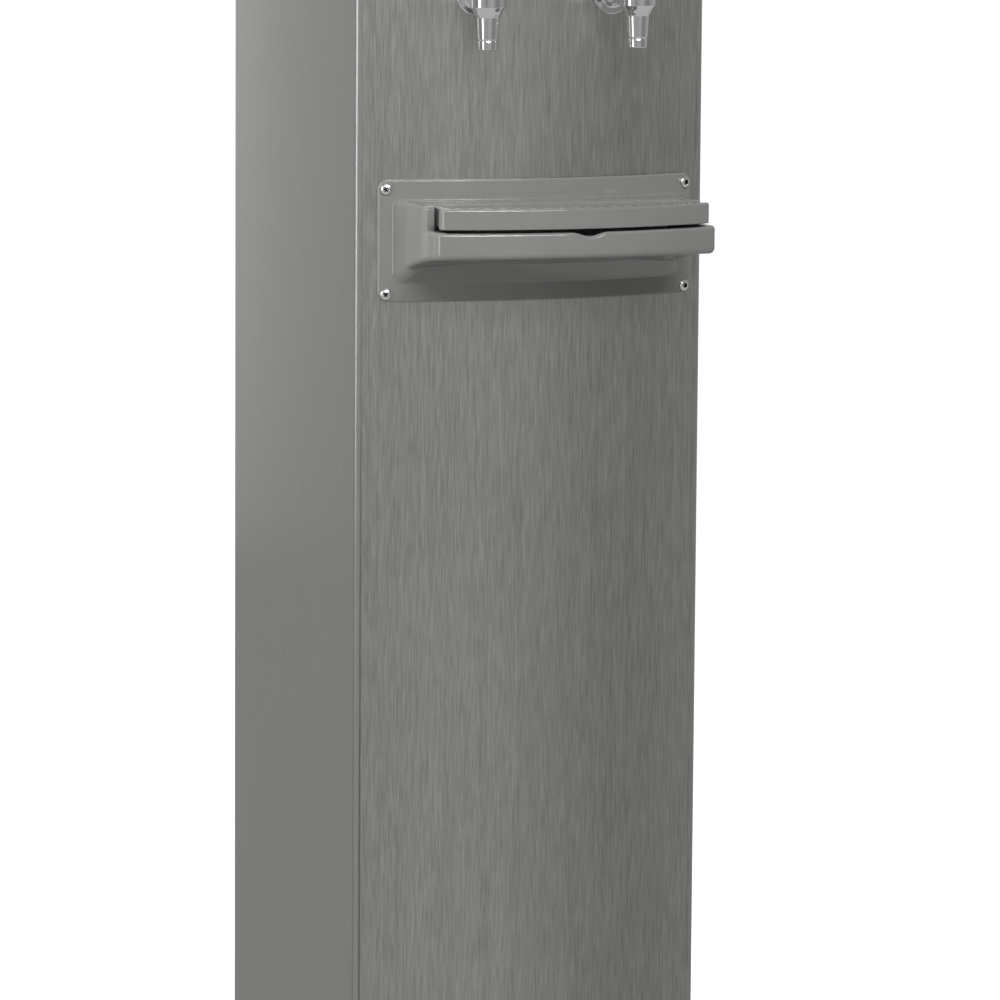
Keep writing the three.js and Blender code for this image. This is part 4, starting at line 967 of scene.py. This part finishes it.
def inlet_form(x, y, z):
    out = np.hypot(x, z)
    thread = 0.35 * np.abs(((y - 6) / 1.4 + np.arctan2(z, x) / (2 * math.pi)) % 1 - 0.5) * 2
    nose = round_keep(out - 6.6 + thread * (y > 7), between(y, 0.3, back_out), 0.5)
    collar = round_keep(nut_form(x, z, 27), between(y, 0.3, 5), 0.7)
    neck = np.maximum(out - 10.4, between(y, -16, 1))
    coil = round_keep(plate(x, z - 6.5, 19, 23.5, 3), between(y, -54, -14), 1.5)
    pipe = round_keep(np.hypot(x, y + 34) - 5, between(z, 20, 44), 0.5)
    solid = np.minimum(np.minimum(nose, collar), np.minimum(neck, round_join(coil, pipe, 1.5)))
    return round_cut(solid, np.maximum(out - 4, -40 - y), 0.4)


inlet_seat = from_point((inlet_x, rear_face, inlet_low.z + INLET_DROP * MM))
inlet_box = [(-19, -54, -INLET_DROP), (19, back_out, 44)]
inlet = moulded("solenoid_inlet", inlet_form, *inlet_box, 0.75, dark_plastic, inlet_seat)
place(inlet, "cabinet", "dark_plastic", "inlet_valve")


def waste_form(x, y, z):
    out = np.hypot(x, z)
    barb = 0.9 * (((y - 6) / 4.5) % 1) * ((y > 6) & (y < back_out - 0.5))
    tail = round_keep(out - 8.1 - 0.9 + barb, between(y, -20, back_out), 0.4)
    body = np.maximum(out - 12.4, between(y, -8, 2))
    flange = round_keep(out - 18, between(y, 0.3, 5), 1.2)
    solid = np.minimum(round_join(tail, flange, 1.0), body)
    return round_cut(solid, out - 6.5, 0.4)


waste_box = [(-18, -20, -18), (18, back_out, 18)]
seat = from_back("waste_outlet")
waste = moulded("waste_barb", waste_form, *waste_box, 0.6, dark_plastic, seat)
place(waste, "cabinet", "dark_plastic", "waste_outlet")

REAR_SCREW_X, REAR_SCREW_LEVELS = 0.1475, (0.06, 0.58, 1.10)


def rear_screw_form(x, y, z):
    return np.maximum(screw_form(x, y + SCREW_SEAT, z), -0.4 - y)


rear_screw_box = [(-5, -1, -5), (5, SCREW_RISE, 5)]
for level, height in enumerate(REAR_SCREW_LEVELS):
    for side, x in (("left", -REAR_SCREW_X), ("right", REAR_SCREW_X)):
        seat = from_point((x, rear_face, height))
        name = f"rear_screw_{level + 1}_{side}"
        screw = moulded(name, rear_screw_form, *rear_screw_box, 0.3, bright_steel, seat)
        place(screw, "cabinet", "bright_steel")


# ---- Sheet metal and hidden works --------------------------------------------------------------
# The galvanised rear panel, base and shelf, the tank in its foam and the refrigeration circuit keep
# the shapes that they were drawn with, and take finishes of their own.
zinc = noise_finish("zinc", (0.46, 0.47, 0.48), 0.42, 1.0, grain=0.0015, change=0.12, relief=0.15)
black_paint = noise_finish("black_paint", (0.016, 0.017, 0.018), 0.38, grain=0.0012, relief=0.35)
copper = noise_finish("copper", (0.62, 0.30, 0.18), 0.3, 1.0, grain=0.003, change=0.16)
foam = noise_finish("foam", (0.03, 0.03, 0.032), 0.92, grain=0.0022, change=0.2, relief=0.9)
hose = noise_finish("hose", (0.50, 0.52, 0.51), 0.34, grain=0.004)
blue_tube = noise_finish("blue_tube", (0.05, 0.15, 0.36), 0.32, grain=0.004)
FINISHES = {
    "brushed_front": brushed_front,
    "brushed_side": brushed_side,
    "grey_plastic": grey_plastic,
    "dark_plastic": dark_plastic,
    "bright_steel": bright_steel,
    "chrome": chrome,
    "zinc": zinc,
    "black_paint": black_paint,
    "copper": copper,
    "foam": foam,
    "rubber": rubber,
    "hose": hose,
    "blue_tube": blue_tube,
}
for subpart in frame["record"]["subparts"]:
    for held in frame["nodes"][subpart["node"]].material_slots:
        held.material = FINISHES[subpart["material_slot"]]
